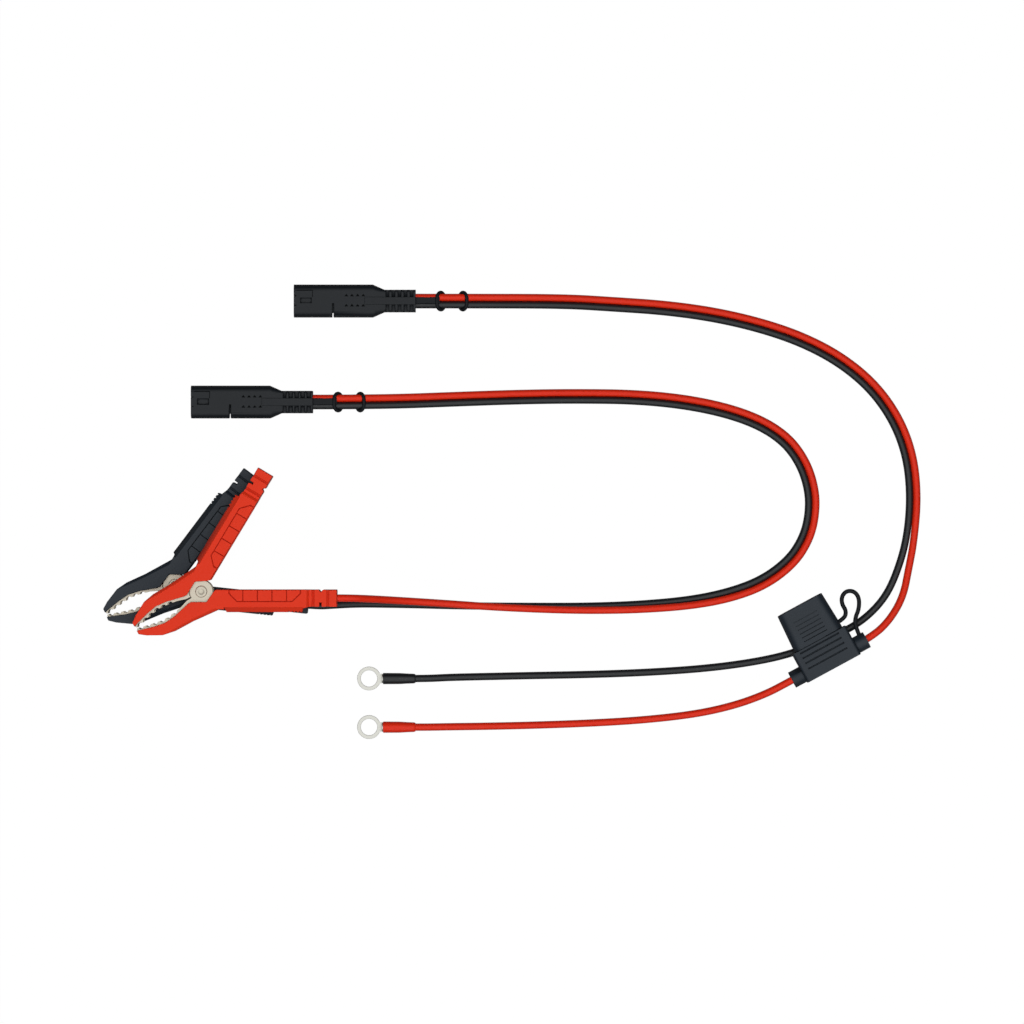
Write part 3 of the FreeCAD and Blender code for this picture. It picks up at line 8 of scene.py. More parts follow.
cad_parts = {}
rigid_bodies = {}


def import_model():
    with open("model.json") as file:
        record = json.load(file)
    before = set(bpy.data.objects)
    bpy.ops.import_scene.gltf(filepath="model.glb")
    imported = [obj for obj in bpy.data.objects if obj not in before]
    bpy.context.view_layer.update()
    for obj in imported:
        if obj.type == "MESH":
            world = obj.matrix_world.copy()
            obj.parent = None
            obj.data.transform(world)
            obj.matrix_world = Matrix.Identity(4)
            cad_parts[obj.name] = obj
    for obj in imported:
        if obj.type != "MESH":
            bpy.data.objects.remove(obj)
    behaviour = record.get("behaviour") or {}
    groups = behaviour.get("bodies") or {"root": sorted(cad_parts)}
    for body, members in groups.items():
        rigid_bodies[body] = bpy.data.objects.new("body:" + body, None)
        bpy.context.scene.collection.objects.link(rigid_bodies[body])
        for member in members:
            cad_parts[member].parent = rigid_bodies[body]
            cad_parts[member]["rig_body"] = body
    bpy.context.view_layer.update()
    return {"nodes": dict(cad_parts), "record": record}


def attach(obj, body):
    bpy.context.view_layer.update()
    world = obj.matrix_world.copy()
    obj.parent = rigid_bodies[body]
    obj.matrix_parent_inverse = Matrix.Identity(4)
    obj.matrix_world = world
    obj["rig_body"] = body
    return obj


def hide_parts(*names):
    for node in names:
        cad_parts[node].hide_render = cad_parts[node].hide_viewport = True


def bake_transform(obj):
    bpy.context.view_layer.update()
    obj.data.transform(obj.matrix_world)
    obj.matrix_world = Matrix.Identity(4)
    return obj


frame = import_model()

# %% [markdown]
# The two low-voltage leads of a car battery charger. One ends in a red and a black battery clamp,
# the other carries a fuse holder and ends in two ring terminals. Both start at a moulded connector.
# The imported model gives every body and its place. This file gives the looks: rounded mouldings,
# soft wires, plated steel and vinyl, seen from straight above as in a product photograph.

# %% Units and colours
MM = 0.001


def colour(code):
    """An sRGB hex value as a linear colour."""
    parts = [int(code[k:k + 2], 16) / 255 for k in (0, 2, 4)]
    linear = [c / 12.92 if c <= 0.04045 else ((c + 0.055) / 1.055) ** 2.4 for c in parts]
    return (*linear, 1.0)


def add_node(tree, kind, inputs=(), **settings):
    """A node with its settings; an input is given a plain value or another node's output."""
    made = tree.nodes.new(kind)
    for word, value in settings.items():
        setattr(made, word, value)
    for socket, value in dict(inputs).items():
        if isinstance(value, bpy.types.NodeSocket):
            tree.links.new(value, made.inputs[socket])
        else:
            made.inputs[socket].default_value = value
    return made


def new_finish(name):
    finish = bpy.data.materials.new(name)
    finish.use_nodes = True
    finish.node_tree.nodes.clear()
    return finish, finish.node_tree


print("colours ready")

# %% [markdown]
# The camera looks straight down with a long lens, so the leads keep their plan shape and their
# sides hardly show. The picture is 527 mm wide at the floor, as the size of the rings tells.

# %% Camera
PIXELS = 1024
PIXEL = 0.515 * MM
PICTURE_WIDTH = PIXELS * PIXEL
PICTURE_MIDDLE = 12.6 * MM
LENS = 200.0
SENSOR = 36.0
camera_data = bpy.data.cameras.new("overhead")
camera_data.lens = LENS
camera_data.sensor_width = SENSOR
camera_data.clip_end = 20.0
camera = bpy.data.objects.new("overhead", camera_data)
bpy.context.scene.collection.objects.link(camera)
camera.location = (PICTURE_MIDDLE, 0.0, PICTURE_WIDTH * LENS / SENSOR)
bpy.context.scene.camera = camera
bpy.context.scene.view_settings.view_transform = "Standard"
print("camera at", round(camera.location.z, 3), "m")

# %% [markdown]
# A product table: one broad soft lamp straight above, a weaker one from the front for a little
# shape, and a dim grey world for fill. The camera sees the world as plain white. What mirrors it
# sees a tent that is white overhead and dark towards its sides. Most of the grey on black plastic
# is that tent in its gloss, so a flat face is lit, and a rounded edge turns away into the dark.
# The tent is white up to 26 degrees from its top and dark from 63 degrees on.

# %% Light
TENT_TOP = (0.04, -0.21, 0.977)
TENT_WHITE, TENT_DARK = 0.9, 0.45

world = bpy.data.worlds.new("studio")
world.use_nodes = True
sky = world.node_tree
sky.nodes.clear()
rays = add_node(sky, "ShaderNodeLightPath")
seen = add_node(sky, "ShaderNodeMath", {0: rays.outputs["Is Camera Ray"],
                                        1: rays.outputs["Is Transmission Ray"]},
                operation="MAXIMUM")
fill = add_node(sky, "ShaderNodeBackground", {"Color": colour("E9EEF2"), "Strength": 0.07})
paper = add_node(sky, "ShaderNodeBackground", {"Color": (1, 1, 1, 1), "Strength": 1.0})
toward = add_node(sky, "ShaderNodeVectorMath",
                  {0: add_node(sky, "ShaderNodeTexCoord").outputs["Generated"],
                   1: TENT_TOP}, operation="DOT_PRODUCT")
glow = add_node(sky, "ShaderNodeMapRange", {"Value": toward.outputs["Value"],
                                            "From Min": TENT_DARK, "From Max": TENT_WHITE,
                                            "To Min": 0.03, "To Max": 1.1})
tent = add_node(sky, "ShaderNodeBackground", {"Color": (1, 1, 1, 1),
                                              "Strength": glow.outputs["Result"]})
mirrored = add_node(sky, "ShaderNodeMixShader", {0: rays.outputs["Is Glossy Ray"],
                                                 1: fill.outputs[0], 2: tent.outputs[0]})
both = add_node(sky, "ShaderNodeMixShader", {0: seen.outputs[0], 1: mirrored.outputs[0],
                                             2: paper.outputs[0]})
add_node(sky, "ShaderNodeOutputWorld", {"Surface": both.outputs[0]})
bpy.context.scene.world = world


def soft_light(name, place, width, power):
    """A round soft lamp that looks at the middle of the table and shows in no mirror."""
    data = bpy.data.lights.new(name, "AREA")
    data.shape = "DISK"
    data.size = width
    data.energy = power
    lamp = bpy.data.objects.new(name, data)
    bpy.context.scene.collection.objects.link(lamp)
    lamp.location = place
    lamp.rotation_euler = Vector(place).to_track_quat("Z", "Y").to_euler()
    lamp.visible_glossy = False


soft_light("overhead_soft", (0.0, 0.0, 2.4), 0.9, 44.0)
soft_light("front_soft", (0.2, -1.5, 1.2), 0.6, 7.0)
print("lights ready")

# %% [markdown]
# The floor is matte paper. It gives little light back to the undersides, so the rounded edges of
# the mouldings and wires stay dark, and the camera sees it as white with part of the shadow kept.

# %% Floor
PAPER_TOP = -0.2 * MM
PAPER_WHITE, PAPER_IN_GLOSS = 0.82, 0.1

bpy.ops.object.select_all(action="DESELECT")
bpy.ops.mesh.primitive_plane_add(size=8.0, location=(0, 0, PAPER_TOP))
floor = bpy.context.object
floor.name = "floor"
white_paper, tree = new_finish("white paper")
rays = add_node(tree, "ShaderNodeLightPath")
direct = add_node(tree, "ShaderNodeMath", {0: rays.outputs["Is Camera Ray"],
                                           1: rays.outputs["Is Transmission Ray"]},
                  operation="MAXIMUM")
white = add_node(tree, "ShaderNodeMath", {0: direct.outputs[0], 1: PAPER_WHITE},
                 operation="MULTIPLY")
dull = add_node(tree, "ShaderNodeMath", {0: rays.outputs["Is Glossy Ray"], 1: PAPER_IN_GLOSS},
                operation="MULTIPLY")
seen = add_node(tree, "ShaderNodeMath", {0: white.outputs[0], 1: dull.outputs[0]},
                operation="MAXIMUM")
matte = add_node(tree, "ShaderNodeBsdfDiffuse", {"Color": colour("5C5C5C")})
lit = add_node(tree, "ShaderNodeEmission", {"Color": (1, 1, 1, 1), "Strength": 1.2})
both = add_node(tree, "ShaderNodeMixShader", {0: seen.outputs[0], 1: matte.outputs[0],
                                              2: lit.outputs[0]})
add_node(tree, "ShaderNodeOutputMaterial", {"Surface": both.outputs[0]})
floor.data.materials.append(white_paper)
print("floor ready")

# %% [markdown]
# The mouldings are nylon or polypropylene, shot into a spark-eroded mould, which leaves a very
# fine even grain. The connectors are moulded straight over the wires in a softer and darker vinyl.
# Grain finer than a tenth of a millimetre can't show in the picture, so it is drawn coarser, at
# 0.35 mm, with a small change of tone over 14 mm so that broad faces don't look flat. Shade is
# painted into the hollows: a face with others near it is painted darker, and is made duller.

# %% Moulded plastics
MOTTLE = 14 * MM
# How far the painted shade in hollows looks for other faces.
PAINTED_SHADE_REACH = 1.4 * MM


def moulded(name, shade, deep, painted_groove_shade, grain_mm, rough, lift=0.04, level=0.5):
    """A moulded plastic: fine grain, slow mottling, and painted shade that darkens and dulls its
    grooves.
    """
    finish, tree = new_finish(name)
    place = add_node(tree, "ShaderNodeTexCoord").outputs["Object"]
    grain = add_node(tree, "ShaderNodeTexNoise", {"Vector": place, "Scale": 1 / (grain_mm * MM),
                                                  "Detail": 2.0})
    slow = add_node(tree, "ShaderNodeTexNoise", {"Vector": place, "Scale": 1 / MOTTLE,
                                                 "Detail": 3.0})
    tone = add_node(tree, "ShaderNodeMix", {"Factor": slow.outputs["Fac"], "A": colour(deep),
                                            "B": colour(shade)}, data_type="RGBA")
    # Painted shade: where other faces are near, the tone is mixed towards the groove colour, which
    # darkens grooves and hollows as shade would, and the roughness rises there.
    occlusion = add_node(tree, "ShaderNodeAmbientOcclusion", {"Distance": PAINTED_SHADE_REACH},
                      only_local=True, samples=8)
    painted_shade = add_node(tree, "ShaderNodeMapRange", {"Value": occlusion.outputs["AO"], "From Min": 0.3,
                                                 "From Max": 0.85, "To Min": 1.0, "To Max": 0.0})
    painted_tone = add_node(tree, "ShaderNodeMix", {"Factor": painted_shade.outputs["Result"],
                                              "A": tone.outputs["Result"],
                                              "B": colour(painted_groove_shade)}, data_type="RGBA")
    sheen = add_node(tree, "ShaderNodeMapRange", {"Value": grain.outputs["Fac"],
                                                  "To Min": rough - 0.06, "To Max": rough + 0.08})
    dull = add_node(tree, "ShaderNodeMath", {0: painted_shade.outputs["Result"], 1: 0.5,
                                             2: sheen.outputs["Result"]}, operation="MULTIPLY_ADD")
    relief = add_node(tree, "ShaderNodeBump", {"Height": grain.outputs["Fac"], "Strength": 0.35,
                                               "Distance": lift * MM})
    skin = add_node(tree, "ShaderNodeBsdfPrincipled",
                    {"Base Color": painted_tone.outputs["Result"], "Roughness": dull.outputs["Value"],
                     "Normal": relief.outputs["Normal"], "IOR": 1.5, "Specular IOR Level": level})
    add_node(tree, "ShaderNodeOutputMaterial", {"Surface": skin.outputs[0]})
    return finish


# The fourth colour of each moulded finish is its painted shade in grooves and hollows.
black_nylon = moulded("moulded black nylon", "1A222A", "151C23", "06080A", 0.35, 0.46)
red_nylon = moulded("moulded red nylon", "DC3519", "D43016", "96170D", 0.35, 0.46)
soft_black = moulded("overmoulded black vinyl", "0D1217", "0A0E12", "030405", 0.35, 0.44,
                     level=0.4)
print(black_nylon.name, "and", red_nylon.name)

# %% [markdown]
# Wire insulation is soft vinyl drawn through a die, so it is smooth and a little glossy along
# its length, with faint lengthwise waviness. Rubber is duller than vinyl.

# %% Vinyl and rubber
def extruded(name, shade, deep, rough):
    """A vinyl drawn through a die: smooth, with a slow change of tone and height."""
    finish, tree = new_finish(name)
    place = add_node(tree, "ShaderNodeTexCoord").outputs["Object"]
    slow = add_node(tree, "ShaderNodeTexNoise", {"Vector": place, "Scale": 1 / (9 * MM),
                                                 "Detail": 2.0})
    tone = add_node(tree, "ShaderNodeMix", {"Factor": slow.outputs["Fac"], "A": colour(deep),
                                            "B": colour(shade)}, data_type="RGBA")
    relief = add_node(tree, "ShaderNodeBump", {"Height": slow.outputs["Fac"], "Strength": 0.2,
                                               "Distance": 0.06 * MM})
    skin = add_node(tree, "ShaderNodeBsdfPrincipled",
                    {"Base Color": tone.outputs["Result"], "Roughness": rough,
                     "Normal": relief.outputs["Normal"], "IOR": 1.52,
                     "Specular IOR Level": 0.5})
    add_node(tree, "ShaderNodeOutputMaterial", {"Surface": skin.outputs[0]})
    return finish


black_vinyl = extruded("black vinyl insulation", "15181B", "101215", 0.34)
red_vinyl = extruded("red vinyl insulation", "DC2B0D", "D0240A", 0.38)
# The fourth colour of the rubber is its painted shade in hollows.
black_rubber = moulded("black rubber", "111418", "0D1013", "050607", 0.5, 0.56, 0.03, 0.3)
print(black_vinyl.name, "and", red_vinyl.name)

# %% [markdown]
# The clamp's steel is pressed from strip and nickel plated, which gives a warm pale grey with the
# faint drag lines of the press. The terminals are copper with a dull white coat of tin. The lines
# of pressing and turning are finer than a pixel, so they are drawn at 0.3 to 0.9 mm.

# %% Metals
def plated(name, shade, deep, rough, line_mm, along=(1, 1, 1), lift=0.03):
    """A plated metal with drag lines, which a scale below 1 draws out along an axis."""
    finish, tree = new_finish(name)
    place = add_node(tree, "ShaderNodeTexCoord").outputs["Object"]
    drawn = add_node(tree, "ShaderNodeMapping", {"Vector": place, "Scale": along})
    lines = add_node(tree, "ShaderNodeTexNoise", {"Vector": drawn.outputs[0],
                                                  "Scale": 1 / (line_mm * MM), "Detail": 3.0})
    tone = add_node(tree, "ShaderNodeMix", {"Factor": lines.outputs["Fac"], "A": colour(deep),
                                            "B": colour(shade)}, data_type="RGBA")
    sheen = add_node(tree, "ShaderNodeMapRange", {"Value": lines.outputs["Fac"],
                                                  "To Min": rough - 0.08, "To Max": rough + 0.1})
    relief = add_node(tree, "ShaderNodeBump", {"Height": lines.outputs["Fac"], "Strength": 0.25,
                                               "Distance": lift * MM})
    skin = add_node(tree, "ShaderNodeBsdfPrincipled",
                    {"Base Color": tone.outputs["Result"], "Metallic": 1.0,
                     "Roughness": sheen.outputs["Result"], "Normal": relief.outputs["Normal"]})
    add_node(tree, "ShaderNodeOutputMaterial", {"Surface": skin.outputs[0]})
    return finish


nickel_steel = plated("nickel-plated pressed steel", "E2DAC9", "CEC6B4", 0.42, 0.5, (0.15, 1, 1))
spring_steel = plated("drawn spring wire", "B9B9B5", "9B9B98", 0.34, 0.4)
tin_copper = plated("tin-plated copper", "E6E6DF", "DADAD2", 0.40, 0.9, lift=0.01)
turned_brass = plated("turned brass", "D9B968", "BD9B50", 0.28, 0.3, (1, 1, 0.1))
print(nickel_steel.name, tin_copper.name)

# %% [markdown]
# The blade fuse is moulded of clear polysulfone with a tint that tells its rating. Some light goes
# through it and it has the gloss of a polished mould, so it needs transmission and no grain.

# %% Clear tinted plastic of the fuse
fuse_blue, tree = new_finish("clear tinted polysulfone")
place = add_node(tree, "ShaderNodeTexCoord").outputs["Object"]
haze = add_node(tree, "ShaderNodeTexNoise", {"Vector": place, "Scale": 1 / (3 * MM)})
tone = add_node(tree, "ShaderNodeMix", {"Factor": haze.outputs["Fac"], "A": colour("1E5FC0"),
                                        "B": colour("2A6FD0")}, data_type="RGBA")
skin = add_node(tree, "ShaderNodeBsdfPrincipled", {"Base Color": tone.outputs["Result"],
                                                   "Roughness": 0.18, "IOR": 1.63,
                                                   "Transmission Weight": 0.45})
add_node(tree, "ShaderNodeOutputMaterial", {"Surface": skin.outputs[0]})
print(fuse_blue.name)

# %% [markdown]
# Each wire is one smooth line. Its control points are the route's own points, straight out of
# the strain relief, down to the floor and round the bends of the photograph. In a twin the two
# wires are laid side by side from one middle line, which can roll so that one lies on the other.

# %% Wire routes
WIRE = 3.8 * MM
PITCH = WIRE - 0.02 * MM
FLOOR = WIRE / 2 + 0.05 * MM
PLUG_AXIS = 5.9 * MM
PLUGS = {"clip": (-0.1522, 0.0565), "eyelet": (-0.0994, 0.1084)}
RED_HINGE = (-0.1456, -0.0405)
BLACK_HINGE = (-0.16025, -0.0373)
BLACK_TURN = -6.0
WIRE_LINE = -3.4
HOLDER = (0.17385, -0.0729)
HOLDER_TURN = 28.5
HOLDER_AXIS = 10.35 * MM


def twin(route, pitch):
    """Two parallel routes from one: each point holds x, y, the lower wire's height and the roll."""
    left_route = []
    right_route = []
    for k, (x, y, height, roll) in enumerate(route):
        before = route[max(k - 1, 0)]
        after = route[min(k + 1, len(route) - 1)]
        one = math.atan2(y - before[1], x - before[0]) if k else None
        two = math.atan2(after[1] - y, after[0] - x) if k < len(route) - 1 else None
        one = two if one is None else one
        two = one if two is None else two
        half_turn = (two - one + math.pi) % (2 * math.pi) / 2 - math.pi / 2
        across = one + half_turn + math.pi / 2
        side = pitch / 2 * math.cos(math.radians(roll)) / math.cos(half_turn)
        rise = pitch * math.sin(math.radians(roll))
        left_route.append((x + side * math.cos(across), y + side * math.sin(across), height + rise))
        right_route.append((x - side * math.cos(across), y - side * math.sin(across), height))
    return left_route, right_route


def along_turned(origin, turn, along, across, height):
    """A point in mm along and across a piece that is turned in plan, at a height in metres."""
    angle = math.radians(turn)
    return (origin[0] + (along * math.cos(angle) - across * math.sin(angle)) * MM,
            origin[1] + (along * math.sin(angle) + across * math.cos(angle)) * MM, height)


def in_holder(along, across=WIRE_LINE):
    """A point at the height of the holder's wires, in mm along and across them."""
    return along_turned(HOLDER, HOLDER_TURN, along, across, HOLDER_AXIS)


clip_route = [(-0.0976, 0.0565, PLUG_AXIS, 0), (-0.0548, 0.0565, PLUG_AXIS, 0),
              (-0.0123, 0.0582, 0.0021, 0), (0.0140, 0.0591, FLOOR, 0), (0.0425, 0.0596, FLOOR, 0),
              (0.0785, 0.0592, FLOOR, 0), (0.1094, 0.0556, FLOOR, 0), (0.1352, 0.0486, FLOOR, 0),
              (0.1525, 0.0387, FLOOR, 0), (0.1624, 0.0258, FLOOR, 0), (0.1672, 0.0108, FLOOR, 0),
              (0.1670, -0.0026, FLOOR, 0), (0.1638, -0.0142, FLOOR, 0),
              (0.1564, -0.0256, FLOOR, 0), (0.1425, -0.0362, FLOOR, 0),
              (0.1249, -0.0428, FLOOR, 14), (0.1043, -0.0468, FLOOR, 34),
              (0.0785, -0.0489, FLOOR, 45), (0.0528, -0.0496, FLOOR, 56),
              (0.0270, -0.0493, FLOOR, 68), (0.0013, -0.0486, FLOOR, 86)]
clip_red, clip_black = twin(clip_route, PITCH)
clip_red += [(-0.0180, -0.0473, 0.0065), (-0.0355, -0.0461, 0.0090), (-0.0500, -0.0451, 0.0150),
             (-0.0605, -0.0444, 0.0216), along_turned(RED_HINGE, 0, 75.0, WIRE_LINE, 0.0273),
             along_turned(RED_HINGE, 0, 59.0, WIRE_LINE, 0.0273)]
clip_black += [(-0.0190, -0.0482, FLOOR), (-0.0365, -0.0477, 0.0022), (-0.0520, -0.0474, 0.0037),
               (-0.0665, -0.0472, 0.0064), (-0.0792, -0.0478, 0.0086),
               along_turned(BLACK_HINGE, BLACK_TURN, 73.5, WIRE_LINE, 0.0090),
               along_turned(BLACK_HINGE, BLACK_TURN, 59.0, WIRE_LINE, 0.0090)]
eyelet_route = [(-0.0448, 0.1084, PLUG_AXIS, 0), (-0.0020, 0.1084, PLUG_AXIS, 0),
                (0.0405, 0.1084, 0.0020, 0), (0.0660, 0.1068, FLOOR, 0), (0.0900, 0.1052, FLOOR, 0),
                (0.1150, 0.1019, FLOOR, 0), (0.1387, 0.0966, FLOOR, 0), (0.1608, 0.0893, FLOOR, 0),
                (0.1807, 0.0791, FLOOR, 0), (0.1977, 0.0654, FLOOR, 0), (0.2101, 0.0484, FLOOR, 0),
                (0.2174, 0.0293, FLOOR, 0), (0.2196, 0.0077, FLOOR, 0),
                (0.2176, -0.0149, FLOOR, 0)]
feed, ground = twin(eyelet_route, PITCH)
feed += [(0.2167, -0.0292, 0.0028), (0.2136, -0.0439, 0.0054), (0.2062, -0.0560, 0.0086),
         in_holder(24.8), in_holder(12.5)]
ground += [(0.2099, -0.0334, FLOOR), (0.2040, -0.0448, FLOOR), (0.1950, -0.0543, FLOOR),
           (0.1846, -0.0610, FLOOR), (0.1702, -0.0675, FLOOR), (0.1548, -0.0734, FLOOR),
           (0.1362, -0.0774, FLOOR), (0.1125, -0.0805, FLOOR), (0.0837, -0.0825, FLOOR),
           (0.0538, -0.0836, FLOOR), (0.0219, -0.0842, FLOOR), (-0.0020, -0.0847, FLOOR),
           (-0.0200, -0.0851, 0.0024), (-0.0310, -0.0857, 0.0029), (-0.0440, -0.0857, 0.0029)]
tail = [in_holder(-12.5), in_holder(-24.8), (0.1429, -0.0935, 0.0084),
        (0.1275, -0.0993, 0.0048), (0.1079, -0.1039, 0.0025),
        (0.0811, -0.1070, FLOOR), (0.0528, -0.1087, FLOOR), (0.0219, -0.1098, FLOOR),
        (-0.0020, -0.1103, FLOOR), (-0.0200, -0.1105, 0.0024), (-0.0310, -0.1107, 0.0029),
        (-0.0440, -0.1107, 0.0029)]
print("routes ready")

# %% [markdown]
# A wire is a curve with a round section. A NURBS line of order three bends smoothly past its
# control points and ends on the first and the last, which is how a stiff wire lies. A chain of
# cylinders would show its joints.

# %% Wires
def round_cord(name, points, radius, fineness, roundness):
    """A smooth round cord whose line has these points as its control points."""
    line = bpy.data.curves.new(name, "CURVE")
    line.dimensions = "3D"
    spline = line.splines.new("NURBS")
    spline.points.add(len(points) - 1)
    for control, point in zip(spline.points, points):
        control.co = (*point, 1.0)
    spline.order_u = 3
    spline.use_endpoint_u = True
    line.resolution_u = fineness
    line.bevel_depth = radius
    line.bevel_resolution = roundness
    line.use_fill_caps = True
    cord = bpy.data.objects.new(name, line)
    bpy.context.scene.collection.objects.link(cord)
    return cord


def lay_wire(node, points, colour_name):
    """One insulated wire that lies with the rest of the leads."""
    wire = round_cord(node + "_laid", points, WIRE / 2, 16, 6)
    wire.data.materials.append({"red": red_vinyl, "black": black_vinyl}[colour_name])
    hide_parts(node)
    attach(wire, "leads")
    return wire


wires = {node: lay_wire(node, points, colour_name) for node, points, colour_name in (
    ("clip_wire_red", clip_red, "red"), ("clip_wire_black", clip_black, "black"),
    ("eyelet_wire_feed", feed, "red"), ("eyelet_wire_black", ground, "black"),
    ("eyelet_wire_red", tail, "red"))}
print(len(wires), "wires laid")

# %% [markdown]
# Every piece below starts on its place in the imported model. The model's solids have razor edges,
# which no moulding or pressing has: a mould is cut with a small radius, and sheared steel is
# tumbled. A copy of the node is merged into one skin, its flat faces are joined, and a round goes
# along each sharp edge whose two faces are wide enough for it. A bevel modifier would do the same
# with an angle limit, but it can't leave out the edges beside a narrow groove, where the round
# would fold the skin over. Each trial is checked for such folds, and the edges there are left off.
# Last, the normals are weighted by area, so that a broad flat face stays flat up to its rounds.

# %% Copies with softened edges
FINISHES = {"black_plastic": black_nylon, "red_plastic": red_nylon,
            "black_insulation": black_vinyl, "red_insulation": red_vinyl,
            "black_rubber": black_rubber, "clamp_steel": nickel_steel,
            "spring_steel": spring_steel, "tinned_copper": tin_copper,
            "contact_brass": turned_brass, "fuse_plastic": fuse_blue,
            "fuse_blade_metal": tin_copper}
SHARP_EDGE = math.radians(35)
SMOOTH_EDGE = math.radians(32)
ROUND_STEPS = 3
TINY_AREA = 1e-10
SLOTS = {part["node"]: part["material_slot"] for part in frame["record"]["subparts"]}


def pick(*pieces):
    """Select these pieces alone; the last one is active."""
    bpy.ops.object.select_all(action="DESELECT")
    for piece in pieces:
        piece.select_set(True)
        bpy.context.view_layer.objects.active = piece


def dress(piece, node, finish=None):
    """A finished piece takes the finish of its node's slot and stands for the node."""
    piece.data.materials.clear()
    piece.data.materials.append(finish or FINISHES[SLOTS[node]])
    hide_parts(node)


def carry(piece, node, finish=None):
    """Dress a rigid piece and let it move with its node's body."""
    dress(piece, node, finish)
    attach(piece, frame["nodes"][node]["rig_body"])
    return piece


def away(point, edge):
    """How far a point is from an edge."""
    start, stop = (corner.co for corner in edge.verts)
    part = intersect_point_line(point, start, stop)[1]
    return (point - start.lerp(stop, min(max(part, 0.0), 1.0))).length


def is_wide(edge, radius):
    """Whether the faces on both sides of an edge reach about three radii across."""
    for loop in edge.link_loops:
        ahead = (loop.link_loop_next.vert.co - loop.vert.co).normalized()
        inward = loop.face.normal.cross(ahead) * radius * 1.5
        across = [other for other in loop.face.edges if not set(other.verts) & set(edge.verts)]
        for part in (0.1, 0.5, 0.9):
            inside = edge.verts[0].co.lerp(edge.verts[1].co, part) + inward
            if any(away(inside, other) < 1.45 * radius for other in across):
                return False
    return True


def is_free(edge, radius, chosen):
    """Whether the round has space to run out at both ends of the edge."""
    way = (edge.verts[1].co - edge.verts[0].co).normalized()
    for other in (other for corner in edge.verts for other in corner.link_edges):
        is_short = other is not edge and other.calc_length() < 1.3 * radius
        along = (other.verts[1].co - other.verts[0].co).normalized()
        if is_short and (other not in chosen or abs(along.dot(way)) < 0.8):
            return False
    return True


def folds(mesh):
    """The corners of triangles that face against their own polygon."""
    mesh.calc_loop_triangles()
    return [mesh.vertices[corner].co.copy() for part in mesh.loop_triangles
            if part.area > TINY_AREA
            and part.normal.dot(mesh.polygons[part.polygon_index].normal) < 0.5
            for corner in part.vertices]


def round_sharp(piece, radius):
    """A round of this radius, in mm, along each sharp edge that has room for it."""
    plain = piece.data.copy()
    skin = bmesh.new()
    skin.from_mesh(plain)
    chosen = {edge for edge in skin.edges
              if edge.calc_face_angle(0.0) > SHARP_EDGE and is_wide(edge, radius * MM)}
    for _ in range(4):
        chosen = {edge for edge in chosen if is_free(edge, radius * MM, chosen)}
    roomy = {edge.index: [corner.co.copy() for corner in edge.verts] for edge in chosen}
    skin.free()
    for _ in range(6):
        pick(piece)
        bpy.ops.object.mode_set(mode="EDIT")
        bpy.ops.mesh.select_mode(type="EDGE")
        bpy.ops.mesh.select_all(action="DESELECT")
        skin = bmesh.from_edit_mesh(piece.data)
        skin.edges.ensure_lookup_table()
        for index in roomy:
            skin.edges[index].select_set(True)
        bmesh.update_edit_mesh(piece.data)
        if roomy:
            bpy.ops.mesh.bevel(offset=radius * MM, segments=ROUND_STEPS, affect="EDGES")
        bpy.ops.object.mode_set(mode="OBJECT")
        spoilt = folds(piece.data)
        if not spoilt:
            break
        roomy = {index: ends for index, ends in roomy.items()
                 if not any((end - place).length < 2 * radius * MM
                            for end in ends for place in spoilt)}
        piece.data = plain.copy()


def one_skin(piece):
    """Merge the corners that lie together and join the faces that lie in one plane."""
    pick(piece)
    bpy.ops.object.mode_set(mode="EDIT")
    bpy.ops.mesh.select_all(action="SELECT")
    bpy.ops.mesh.remove_doubles(threshold=0.003 * MM)
    bpy.ops.mesh.dissolve_limited(angle_limit=math.radians(0.6))
    bpy.ops.object.mode_set(mode="OBJECT")


def copied(node):
    """A copy of a node, merged into one skin of flat faces."""
    piece = bpy.data.objects.new(node + "_made", frame["nodes"][node].data.copy())
    bpy.context.scene.collection.objects.link(piece)
    one_skin(piece)
    return piece


def even_shade(piece):
    """Smooth over small angles, with normals weighted by area so that flat faces look flat."""
    pick(piece)
    bpy.ops.object.shade_smooth_by_angle(angle=SMOOTH_EDGE)
    weigh = piece.modifiers.new("weighted", "WEIGHTED_NORMAL")
    weigh.keep_sharp = True
    bpy.ops.object.modifier_apply(modifier="weighted")


def softened(piece, radius):
    """The piece with its sharp edges rounded, in mm, and its shading made even."""
    round_sharp(piece, radius)
    even_shade(piece)
    return piece


def choose(piece, place, picked):
    """Select the corners that a test picks, in mm in the place's frame; True if there are any."""
    pick(piece)
    bpy.ops.object.mode_set(mode="EDIT")
    bpy.ops.mesh.select_mode(type="VERT")
    bpy.ops.mesh.select_all(action="DESELECT")
    skin = bmesh.from_edit_mesh(piece.data)
    home = place.inverted()
    for corner in skin.verts:
        corner.select_set(picked(*(home @ corner.co / MM)))
    bmesh.update_edit_mesh(piece.data)
    return any(corner.select for corner in skin.verts)


def push(piece, place, picked, step):
    """Move the corners that a test picks; the test and the step are in mm in the place's frame."""
    choose(piece, place, picked)
    bpy.ops.transform.translate(value=place.to_3x3() @ Vector(step) * MM)
    bpy.ops.object.mode_set(mode="OBJECT")


def press(piece, place, picked, level):
    """Press the corners that a test picks flat at a height in the place's frame."""
    if choose(piece, place, picked):
        bpy.ops.transform.resize(value=(1, 1, 0),
                                 center_override=place @ Vector((0, 0, level * MM)))
    bpy.ops.object.mode_set(mode="OBJECT")


